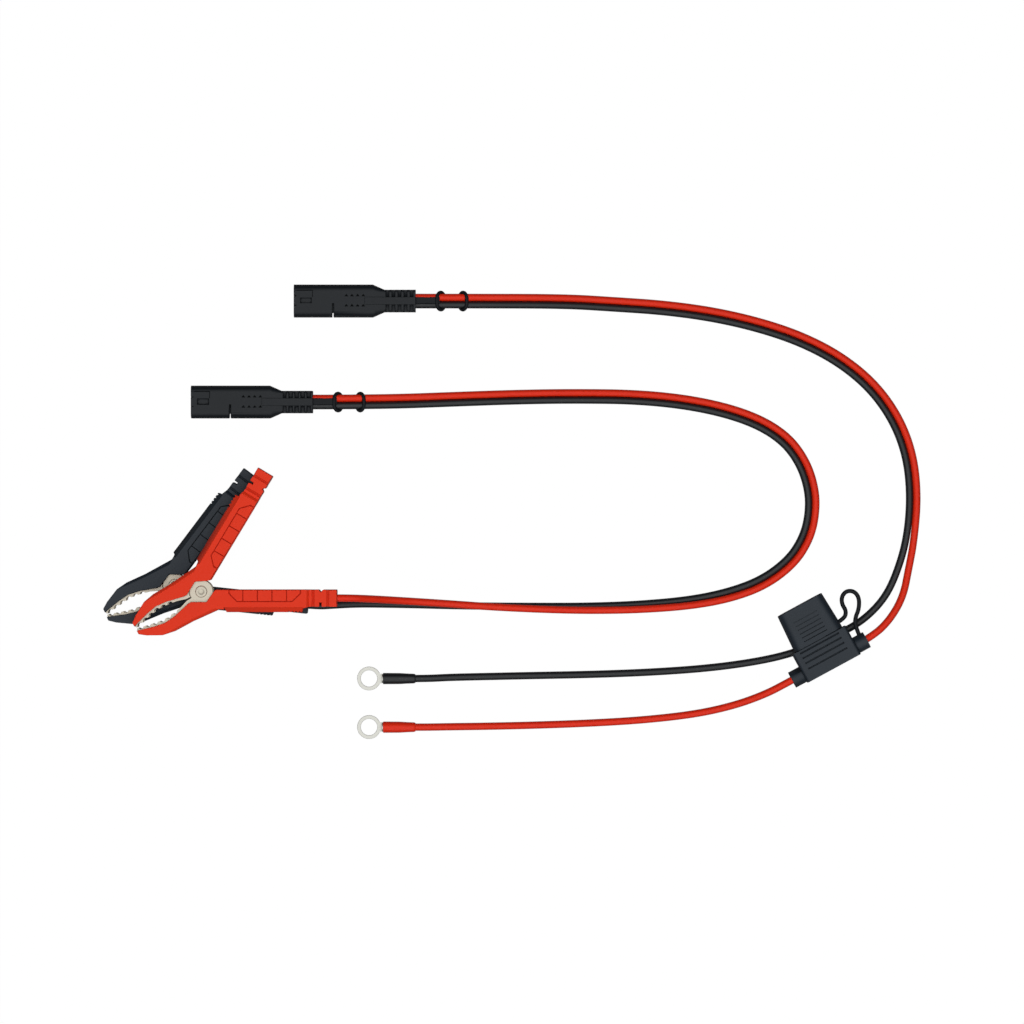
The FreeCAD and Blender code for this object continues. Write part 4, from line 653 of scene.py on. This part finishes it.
def cut_box(piece, place, low, high):
    """Cut a box out of a piece; its corners are in mm in the place's frame."""
    bpy.ops.object.select_all(action="DESELECT")
    middle = (Vector(low) + Vector(high)) / 2 * MM
    bpy.ops.mesh.primitive_cube_add(size=1, location=place @ middle, rotation=place.to_euler(),
                                    scale=(Vector(high) - Vector(low)) * MM)
    cutter = bpy.context.object
    cut = piece.modifiers.new("cut", "BOOLEAN")
    cut.object = cutter
    cut.solver = "EXACT"
    pick(piece)
    bpy.ops.object.modifier_apply(modifier="cut")
    bpy.data.objects.remove(cutter)


print("tools for copied pieces ready")

# %% [markdown]
# A clamp's cover is moulded nylon with a broad slanted strip along the outer edge of its handle,
# two bands round the collar, fine lines on the flanks and a nose that bends softly. The packed
# solid has them all, but narrower, shallower and with a hard knee in the nose. Here the strip is
# made wider and steeper, the lines and bands deeper and the knee drawn out, by moving the corners
# that already lie on them. Only the step from the thick handle down to the thinner collar is a new
# cut, with its foot pushed out into a slope. All numbers here are mm in the clamp's own frame. The
# two halves are mirror images, so a side of 1 or -1 turns the test and the step over.

# %% Clamp covers and steel
CLAMPS = {"red": (*RED_HINGE, 18.3 * MM, 0.0), "black": (*BLACK_HINGE, 0.0, BLACK_TURN)}
SPREAD = 59.0
THICK = 18.0
OUTER_EDGE = -10.5
STRIP = 1.3
STRIP_RIDGE = (-9.9, 0.7)
LINE_DEEP, BAND_DEEP = 0.4, 0.5
COLLAR_START, COLLAR_STEP = 53.6, 1.2
CUT_PAST = (75, 15)


def near(value, target):
    """Whether a corner lies at a place, both in mm."""
    return abs(value - target) < 0.03


def clamp_place(colour_name, half):
    """The frame of a clamp's half, with its hinge at the origin and its handle along X."""
    x, y, floor_z, turn = CLAMPS[colour_name]
    angle = math.radians(turn + (SPREAD if half == "upper" else 0.0))
    return Matrix.Translation((x, y, floor_z)) @ Matrix.Rotation(angle, 4, "Z")


def shape_cover(piece, place, side):
    """Wider strips, deeper lines, a stepped collar and a softer knee in the nose of a cover."""
    for flat, out in ((THICK, 1), (0.0, -1)):
        push(piece, place, lambda x, y, z: (near(z, flat) and x > 9
                                            and near(y * side, OUTER_EDGE + STRIP)),
             (0, 1.3 * side, 0))
        push(piece, place, lambda x, y, z: (near(z, flat - STRIP_RIDGE[1] * out)
                                            and near(y * side, STRIP_RIDGE[0])),
             (0, 0, -1.07 * out))
        push(piece, place, lambda x, y, z: (near(z, flat - STRIP * out) and 12 < x < 52
                                            and near(y * side, OUTER_EDGE)), (0, 0, -1.0 * out))
        push(piece, place, lambda x, y, z: near(z, flat - LINE_DEEP * out) and 13 < x < 52,
             (0, 0, -0.3 * out))
        push(piece, place, lambda x, y, z: near(z, flat - BAND_DEEP * out) and x > 55,
             (0, 0, -1.8 * out))
        foot = flat - COLLAR_STEP * out
        low, high = sorted((foot, flat + out))
        cut_box(piece, place, (COLLAR_START, -CUT_PAST[1], low), (*CUT_PAST, high))
        push(piece, place, lambda x, y, z: near(x, COLLAR_START) and near(z, foot) and y * side > 0,
             (1.2, 0, 0))
        push(piece, place, lambda x, y, z: near(x, COLLAR_START) and near(z, foot) and y * side < 0,
             (1.2, 0.356 * side, 0))
    push(piece, place, lambda x, y, z: near(x, -16.7) and near(y * side, -22.5),
         (-2.8, 0.3 * side, 0))
    push(piece, place, lambda x, y, z: (near(x, -16.4) and near(y * side, -21.7)
                                        or near(x, -15.71) and near(y * side, -19.85)),
         (2.65, 1.4 * side, 0))
    pick(piece)
    bpy.ops.object.mode_set(mode="EDIT")
    bpy.ops.mesh.select_all(action="SELECT")
    bpy.ops.mesh.remove_doubles(threshold=0.02 * MM)
    bpy.ops.mesh.vert_connect_nonplanar(angle_limit=math.radians(1))
    bpy.ops.object.mode_set(mode="OBJECT")


for colour_name in CLAMPS:
    for half, side in (("lower", 1), ("upper", -1)):
        cover = copied(f"{colour_name}_grip_{half}")
        place = clamp_place(colour_name, half)
        shape_cover(cover, place, side)
        softened(cover, 0.4)
        # A round that ends in a narrow corner can rise a little over the face; it is pressed back.
        press(cover, place, lambda x, y, z: z > THICK + 0.02, THICK)
        press(cover, place, lambda x, y, z: z < -0.02, 0.0)
        carry(cover, f"{colour_name}_grip_{half}")
        steel = softened(copied(f"{colour_name}_jaw_{half}"), 0.15)
        carry(steel, f"{colour_name}_jaw_{half}")
        print(cover.name, len(cover.data.polygons), "faces,", steel.name, len(steel.data.polygons))

# %% [markdown]
# The small plastic and metal pieces of the connectors, crimps and fuse get the same treatment,
# each with a radius to its size.

# %% Small copied pieces
SMALL = {"clip_plug_insert": 0.2, "eyelet_plug_insert": 0.2, "red_wire_crimp": 0.2,
         "black_wire_crimp": 0.2, "fuse_clip_feed": 0.12, "fuse_clip_tail": 0.12,
         "fuse_body": 0.3, "fuse_blades": 0.08, "red_ring_terminal": 0.22,
         "black_ring_terminal": 0.22}
for node, radius in SMALL.items():
    carry(softened(copied(node), radius), node)
print(len(SMALL), "small pieces softened")

# %% [markdown]
# The fuse holder is two deep mouldings. Their outer corners are rounded so that hands can pull
# the cap off, and the grooves that help the grip are sharper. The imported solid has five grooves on
# the body. Four broader ones with more room between them look like the real ones, so the five are
# closed by pushing their floors up, and four new ones are cut. The cap's grooves are shallow and
# hardly show.

# %% Fuse holder and cap
HOLDER_PLACE = (Matrix.Translation((HOLDER[0], HOLDER[1], 0))
                @ Matrix.Rotation(math.radians(HOLDER_TURN), 4, "Z"))
GROOVE_STARTS = (-2.45, 0.7, 3.6, 6.3)
GROOVE_WIDE = 0.9
GROOVE_FLOOR, ABOVE_TOP = 15.95, 17.5
holder = copied("fuse_holder_body")
push(holder, HOLDER_PLACE, lambda x, y, z: near(z, 16.15), (0, 0, 0.45))
one_skin(holder)
for start in GROOVE_STARTS:
    cut_box(holder, HOLDER_PLACE, (-11.9, start, GROOVE_FLOOR),
            (10.7, start + GROOVE_WIDE, ABOVE_TOP))
carry(softened(holder, 0.35), "fuse_holder_body")
cap = copied("fuse_cap")
push(cap, HOLDER_PLACE, lambda x, y, z: near(z, 15.55) and abs(x) < 7, (0, 0, 0.1))
push(cap, HOLDER_PLACE, lambda x, y, z: near(x, -6.2) and z > 15, (-1.0, 0, 0))
push(cap, HOLDER_PLACE, lambda x, y, z: near(x, 5.6) and z > 15, (0.5, 0, 0))
carry(softened(cap, 0.35), "fuse_cap")
print("holder and cap", len(holder.data.polygons), len(cap.data.polygons), "faces")

# %% [markdown]
# A connector's housing carries a raised spine from its arrowheads over the taper to the end of
# the strain relief, above and below. It starts as a box, two cuts give it the corners of the
# taper, and its far part is pushed down to follow the slope. The arrowheads are widened and
# deepened, and by the mouth a panel's outline and two small keys are cut in the top.

# %% Connector housings
PLUG_THICK = 11.8
SPINE_START, SPINE_END, SPINE_WIDE = 36.4, 62.5, 3.9
TAPER = (40.5, 46.5)
ARROWS = (22, 38)
ARROW_PITCH = 2.9
MOUTH_CUTS = (((9.5, 1.95, 11.35), (9.85, 5.6, 12.5)), ((1.9, 5.25, 11.35), (9.7, 5.6, 12.5)),
              ((-0.5, 2.2, 11.1), (1.4, 2.7, 12.5)), ((-0.5, -2.6, 11.1), (1.4, -2.1, 12.5)))


def spine(name, x, y, up):
    """The ridge along the top, or along the underside, of a connector."""
    low, high = (9.0, PLUG_THICK + 0.25) if up else (-0.25, PLUG_THICK - 9.0)
    bpy.ops.object.select_all(action="DESELECT")
    bpy.ops.mesh.primitive_cube_add(
        size=1, location=(x + (SPINE_START + SPINE_END) / 2 * MM, y, (low + high) / 2 * MM),
        scale=((SPINE_END - SPINE_START) * MM, SPINE_WIDE * MM, (high - low) * MM))
    ridge = bpy.context.object
    ridge.name = name
    bpy.ops.object.transform_apply(location=True, rotation=True, scale=True)
    bpy.ops.object.mode_set(mode="EDIT")
    for cut in TAPER:
        bpy.ops.mesh.select_all(action="SELECT")
        bpy.ops.mesh.bisect(plane_co=(x + cut * MM, 0, 0), plane_no=(1, 0, 0))
    bpy.ops.object.mode_set(mode="OBJECT")
    push(ridge, Matrix.Translation((x, y, 0)),
         lambda a, b, c: a > TAPER[1] - 0.1 and (c > high - 0.1 if up else c < low + 0.1),
         (0, 0, -1.7 if up else 1.7))
    return softened(ridge, 0.2)


def in_column(along, first):
    """Whether a corner lies at the same place of an arrowhead as the first one."""
    half = ARROW_PITCH / 2
    return ARROWS[0] < along < ARROWS[1] and near((along - first + half) % ARROW_PITCH, half)


for lead, (x, y) in PLUGS.items():
    node = lead + "_plug_housing"
    housing = copied(node)
    place = Matrix.Translation((x, y, 0))
    push(housing, place, lambda a, b, c: near(c, 11.55) and ARROWS[0] < a < ARROWS[1],
         (0, 0, -0.7))
    push(housing, place, lambda a, b, c: c > 10.8 and in_column(a, 26.4), (-0.4, -0.1, 0))
    push(housing, place, lambda a, b, c: c > 10.8 and in_column(a, 27.6), (0.4, -0.1, 0))
    push(housing, place, lambda a, b, c: c > 10.8 and in_column(a, 27.0), (0, 0.1, 0))
    push(housing, place, lambda a, b, c: near(c, 11.2) and 3 < a < 10 and abs(b) < 2, (0, 0, -0.7))
    for low, high in MOUTH_CUTS:
        cut_box(housing, place, low, high)
    softened(housing, 0.3)
    ridges = [spine(lead + "_spine_top", x, y, True), spine(lead + "_spine_under", x, y, False)]
    pick(*ridges, housing)
    bpy.ops.object.join()
    carry(housing, node, soft_black)
    print(housing.name, len(housing.data.polygons), "faces")

# %% [markdown]
# Pins, sockets, rivets and the sleeves of the ring terminals are round, so they are turned: a
# filled circle at the foot is pushed along the axis step by step, and each new ring is scaled to
# the radius that it has there. A spun profile would give the same, but here each step can be read
# as a lathe's: how far along, and how wide.

# %% Turned pieces
POLE = 3.35 * MM


def turned(name, foot, axis, steps):
    """A solid turned about an axis; the steps hold the way along it and the radius, in mm."""
    axis = Vector(axis)
    foot = Vector(foot)
    bpy.ops.object.select_all(action="DESELECT")
    bpy.ops.mesh.primitive_circle_add(vertices=40, radius=steps[0][1] * MM, fill_type="NGON",
                                      location=foot + axis * steps[0][0] * MM,
                                      rotation=axis.to_track_quat("Z", "Y").to_euler())
    piece = bpy.context.object
    piece.name = name
    bpy.ops.object.transform_apply(location=True, rotation=True, scale=True)
    bpy.ops.object.mode_set(mode="EDIT")
    bpy.ops.mesh.select_mode(type="FACE")
    bpy.ops.mesh.select_all(action="SELECT")
    for (before, wide), (along, radius) in zip(steps, steps[1:]):
        bpy.ops.mesh.extrude_region_move(
            TRANSFORM_OT_translate={"value": axis * (along - before) * MM})
        bpy.ops.transform.resize(value=(radius / wide,) * 3,
                                 center_override=foot + axis * along * MM)
    bpy.ops.mesh.select_all(action="SELECT")
    bpy.ops.mesh.normals_make_consistent(inside=False)
    bpy.ops.object.mode_set(mode="OBJECT")
    bpy.ops.object.shade_smooth_by_angle(angle=SMOOTH_EDGE)
    return piece


for lead, (x, y) in PLUGS.items():
    pin = turned(lead + "_pin_turned", (x + 3.5 * MM, y - POLE, PLUG_AXIS), (1, 0, 0),
                 [(0, 0.45), (0.1, 0.85), (0.35, 1.2), (0.7, 1.4), (1.1, 1.5), (9.5, 1.5),
                  (9.5, 1.85), (12.5, 1.85)])
    carry(pin, lead + "_plug_pin")
    socket = turned(lead + "_socket_turned", (x + 16 * MM, y + POLE, PLUG_AXIS), (-1, 0, 0),
                    [(0, 2.05), (11.05, 2.05), (11.2, 1.9), (11.2, 1.75), (10.95, 1.55),
                     (1.5, 1.55), (1.4, 0.4)])
    carry(socket, lead + "_plug_socket")
print("pins and sockets turned")

# %% [markdown]
# Each clamp turns on one rivet through its four steel ears. Its head is spun over, which leaves a
# raised rim and a dimple in the middle.

# %% Hinge rivets
for colour_name, (x, y, floor_z, _) in CLAMPS.items():
    rivet = turned(colour_name + "_rivet_turned", (x, y, floor_z + 1.05 * MM), (0, 0, 1),
                   [(0.65, 0.55), (0.6, 1.2), (0.35, 1.6), (0.3, 2.2), (0.45, 2.75), (0.75, 3.0),
                    (1.1, 3.0), (1.1, 2.0), (14.8, 2.0), (14.8, 3.0), (15.15, 3.0),
                    (15.45, 2.75), (15.6, 2.2), (15.55, 1.6), (15.3, 1.2), (15.25, 0.55)])
    carry(rivet, colour_name + "_hinge_rivet")
print("rivets turned")

# %% [markdown]
# The insulating sleeve of a ring terminal is soft vinyl pushed over the crimped barrel. It swells
# a little over the barrel, is drawn in behind it and has soft ends.

# %% Sleeves of the ring terminals
SLEEVE_START, SLEEVE_AXIS = -53.8 * MM, 2.9 * MM
RING_ROWS = {"black": -0.0857, "red": -0.1107}
for colour_name, y in RING_ROWS.items():
    sleeve = turned(colour_name + "_sleeve_turned", (SLEEVE_START, y, SLEEVE_AXIS), (1, 0, 0),
                    [(0.9, 2.33), (0.1, 2.38), (0.0, 2.6), (0.12, 2.82), (0.4, 2.9), (3.0, 2.88),
                     (8.6, 2.84), (10.4, 2.74), (12.4, 2.62), (15.6, 2.5), (16.3, 2.4),
                     (16.68, 2.2), (16.8, 2.0), (16.7, 1.93), (16.0, 1.93)])
    carry(sleeve, colour_name + "_ring_sleeve")
print("sleeves turned")

# %% [markdown]
# Two rubber rings hold the twin behind each connector, leaning apart. A ring is a torus that is
# stretched over the two wires: its halves are pulled apart, and the straight runs follow. The
# first ring hangs on a flat tongue from the strain relief.

# %% Rubber rings
RING_FIRST, RING_SECOND, RING_LEAN = 75.4, 86.8, 36
TONGUE_MIDDLE = 68.7
TONGUE_SIZE = (12.4, 3.4, 1.0)


def rubber_ring(name, x, y, lean):
    """A torus stretched over the twin; it leans to the connector at -1 and away from it at 1."""
    bpy.ops.object.select_all(action="DESELECT")
    bpy.ops.mesh.primitive_torus_add(major_segments=48, minor_segments=14, major_radius=3.35 * MM,
                                     minor_radius=0.92 * MM, location=(x, y, PLUG_AXIS),
                                     rotation=(0, math.radians(90 + RING_LEAN * lean), 0))
    ring = bpy.context.object
    ring.name = name
    bpy.ops.object.transform_apply(location=True, rotation=True, scale=True)
    for way in (1, -1):
        push(ring, Matrix.Translation((x, y, 0)), lambda a, b, c: b * way > 0.01, (0, 1.1 * way, 0))
    pick(ring)
    bpy.ops.object.shade_smooth()
    return ring


def rubber_tongue(name, x, y):
    """The flat strip over the twin, drawn in a little halfway."""
    middle = (x + TONGUE_MIDDLE * MM, y + 0.3 * MM, PLUG_AXIS + 2.5 * MM)
    bpy.ops.object.select_all(action="DESELECT")
    bpy.ops.mesh.primitive_cube_add(size=1, location=middle,
                                    scale=[length * MM for length in TONGUE_SIZE])
    strip = bpy.context.object
    strip.name = name
    bpy.ops.object.transform_apply(location=True, rotation=True, scale=True)
    bpy.ops.object.mode_set(mode="EDIT")
    for cut in (65.5, TONGUE_MIDDLE, 72.0):
        bpy.ops.mesh.select_all(action="SELECT")
        bpy.ops.mesh.bisect(plane_co=(x + cut * MM, 0, 0), plane_no=(1, 0, 0))
    bpy.ops.object.mode_set(mode="OBJECT")
    choose(strip, Matrix.Translation((x, y, 0)), lambda a, b, c: abs(a - TONGUE_MIDDLE) < 0.1)
    bpy.ops.transform.resize(value=(1, 0.9, 1), center_override=middle)
    bpy.ops.object.mode_set(mode="OBJECT")
    return softened(strip, 0.3)


for lead, (x, y) in PLUGS.items():
    first = rubber_ring(lead + "_ring_first", x + RING_FIRST * MM, y, -1)
    pick(rubber_tongue(lead + "_tongue", x, y), first)
    bpy.ops.object.join()
    carry(first, lead + "_twin_ring_first")
    second = rubber_ring(lead + "_ring_second", x + RING_SECOND * MM, y, 1)
    carry(second, lead + "_twin_ring_second")
print("four rubber rings")

# %% [markdown]
# The torsion spring is one length of hard wire: a leg in each handle and four turns round the
# rivet. A circle of the wire's size is screwed up the hinge axis by a Screw modifier, and each end
# is then pushed out straight along its handle.

# %% Torsion springs
SPRING_WIRE, COIL, LEG_REACH, LEG_DROP = 1.3, 3.5, 24.0, -6.35
TURNS = 4
WALL_TO_STEEL, OUTER_EAR, INNER_EAR, SIDE_ROOM = 2.15, 1.3, 1.2, 0.55
first_angle = math.atan2(LEG_DROP, LEG_REACH) - math.acos(COIL / math.hypot(LEG_DROP, LEG_REACH))
winding = math.radians(SPREAD) - 2 * first_angle - TURNS * 2 * math.pi
climb = THICK - 2 * (WALL_TO_STEEL + OUTER_EAR + INNER_EAR + SIDE_ROOM) - SPRING_WIRE
leg_length = math.sqrt(LEG_REACH ** 2 + LEG_DROP ** 2 - COIL ** 2)


def on_coil(angle, height):
    """A point on the middle line of the coil."""
    return Vector((COIL * math.cos(angle), COIL * math.sin(angle), height)) * MM


def torsion_spring(name, x, y, floor_z, turn):
    """A coil round the hinge with a straight leg into each handle."""
    low = THICK / 2 - climb / 2
    bpy.ops.object.select_all(action="DESELECT")
    bpy.ops.mesh.primitive_circle_add(vertices=12, radius=SPRING_WIRE / 2 * MM,
                                      location=on_coil(first_angle, low),
                                      rotation=(math.pi / 2, 0, first_angle))
    coil = bpy.context.object
    coil.name = name
    bpy.ops.object.transform_apply(location=True, rotation=True, scale=True)
    screw = coil.modifiers.new("turns", "SCREW")
    screw.angle = winding
    screw.screw_offset = climb * MM
    screw.steps = 110
    screw.render_steps = 110
    bpy.ops.object.modifier_apply(modifier="turns")
    ends = [(first_angle, low, -1), (first_angle + winding, low + climb, 1)]
    bpy.ops.object.mode_set(mode="EDIT")
    bpy.ops.mesh.select_mode(type="EDGE")
    for angle, height, way in ends:
        centre = on_coil(angle, height)
        leg = Vector((math.sin(angle), -math.cos(angle), 0)) * way
        bpy.ops.mesh.select_all(action="DESELECT")
        skin = bmesh.from_edit_mesh(coil.data)
        for edge in skin.edges:
            edge.select_set(edge.is_boundary
                            and all((v.co - centre).length < 0.7 * MM for v in edge.verts))
        bmesh.update_edit_mesh(coil.data)
        bpy.ops.mesh.extrude_edges_move(TRANSFORM_OT_translate={"value": leg * leg_length * MM})
        bpy.ops.mesh.edge_face_add()
    bpy.ops.mesh.select_all(action="SELECT")
    bpy.ops.mesh.normals_make_consistent(inside=False)
    bpy.ops.object.mode_set(mode="OBJECT")
    coil.rotation_euler = (0, 0, math.radians(turn))
    coil.location = (x, y, floor_z)
    bpy.ops.object.transform_apply(location=True, rotation=True, scale=True)
    bpy.ops.object.shade_smooth_by_angle(angle=math.radians(40))
    return coil


for colour_name, (x, y, floor_z, turn) in CLAMPS.items():
    spring = torsion_spring(colour_name + "_spring_wound", x, y, floor_z, turn)
    dress(spring, colour_name + "_hinge_spring")
    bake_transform(spring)
    print(spring.name, len(spring.data.polygons), "faces")

# %% [markdown]
# The cap can't get lost, because a rubber strap ties it to the holder. It is a soft round cord in
# a free loop, so it is a smooth curve through the loop's corners, made a mesh.

# %% Strap of the cap
STRAP_RADIUS = 1.1 * MM
STRAP_POINTS = [(12.9, 11.5), (17.3, 11.7), (19.6, 14.7), (19.3, 18.6), (20.9, 22.0),
                (24.3, 23.6), (27.9, 21.7), (28.7, 17.5), (25.9, 12.4), (21.9, 9.2),
                (20.0, 5.6), (19.5, 0.2)]
route = [in_holder(along, across) for along, across in STRAP_POINTS]
strap = round_cord("fuse_cap_strap_made", route, STRAP_RADIUS, 10, 5)
pick(strap)
bpy.ops.object.convert(target="MESH")
strap = bpy.context.object
dress(strap, "fuse_cap_strap")
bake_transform(strap)
print(strap.name, len(strap.data.polygons), "faces")
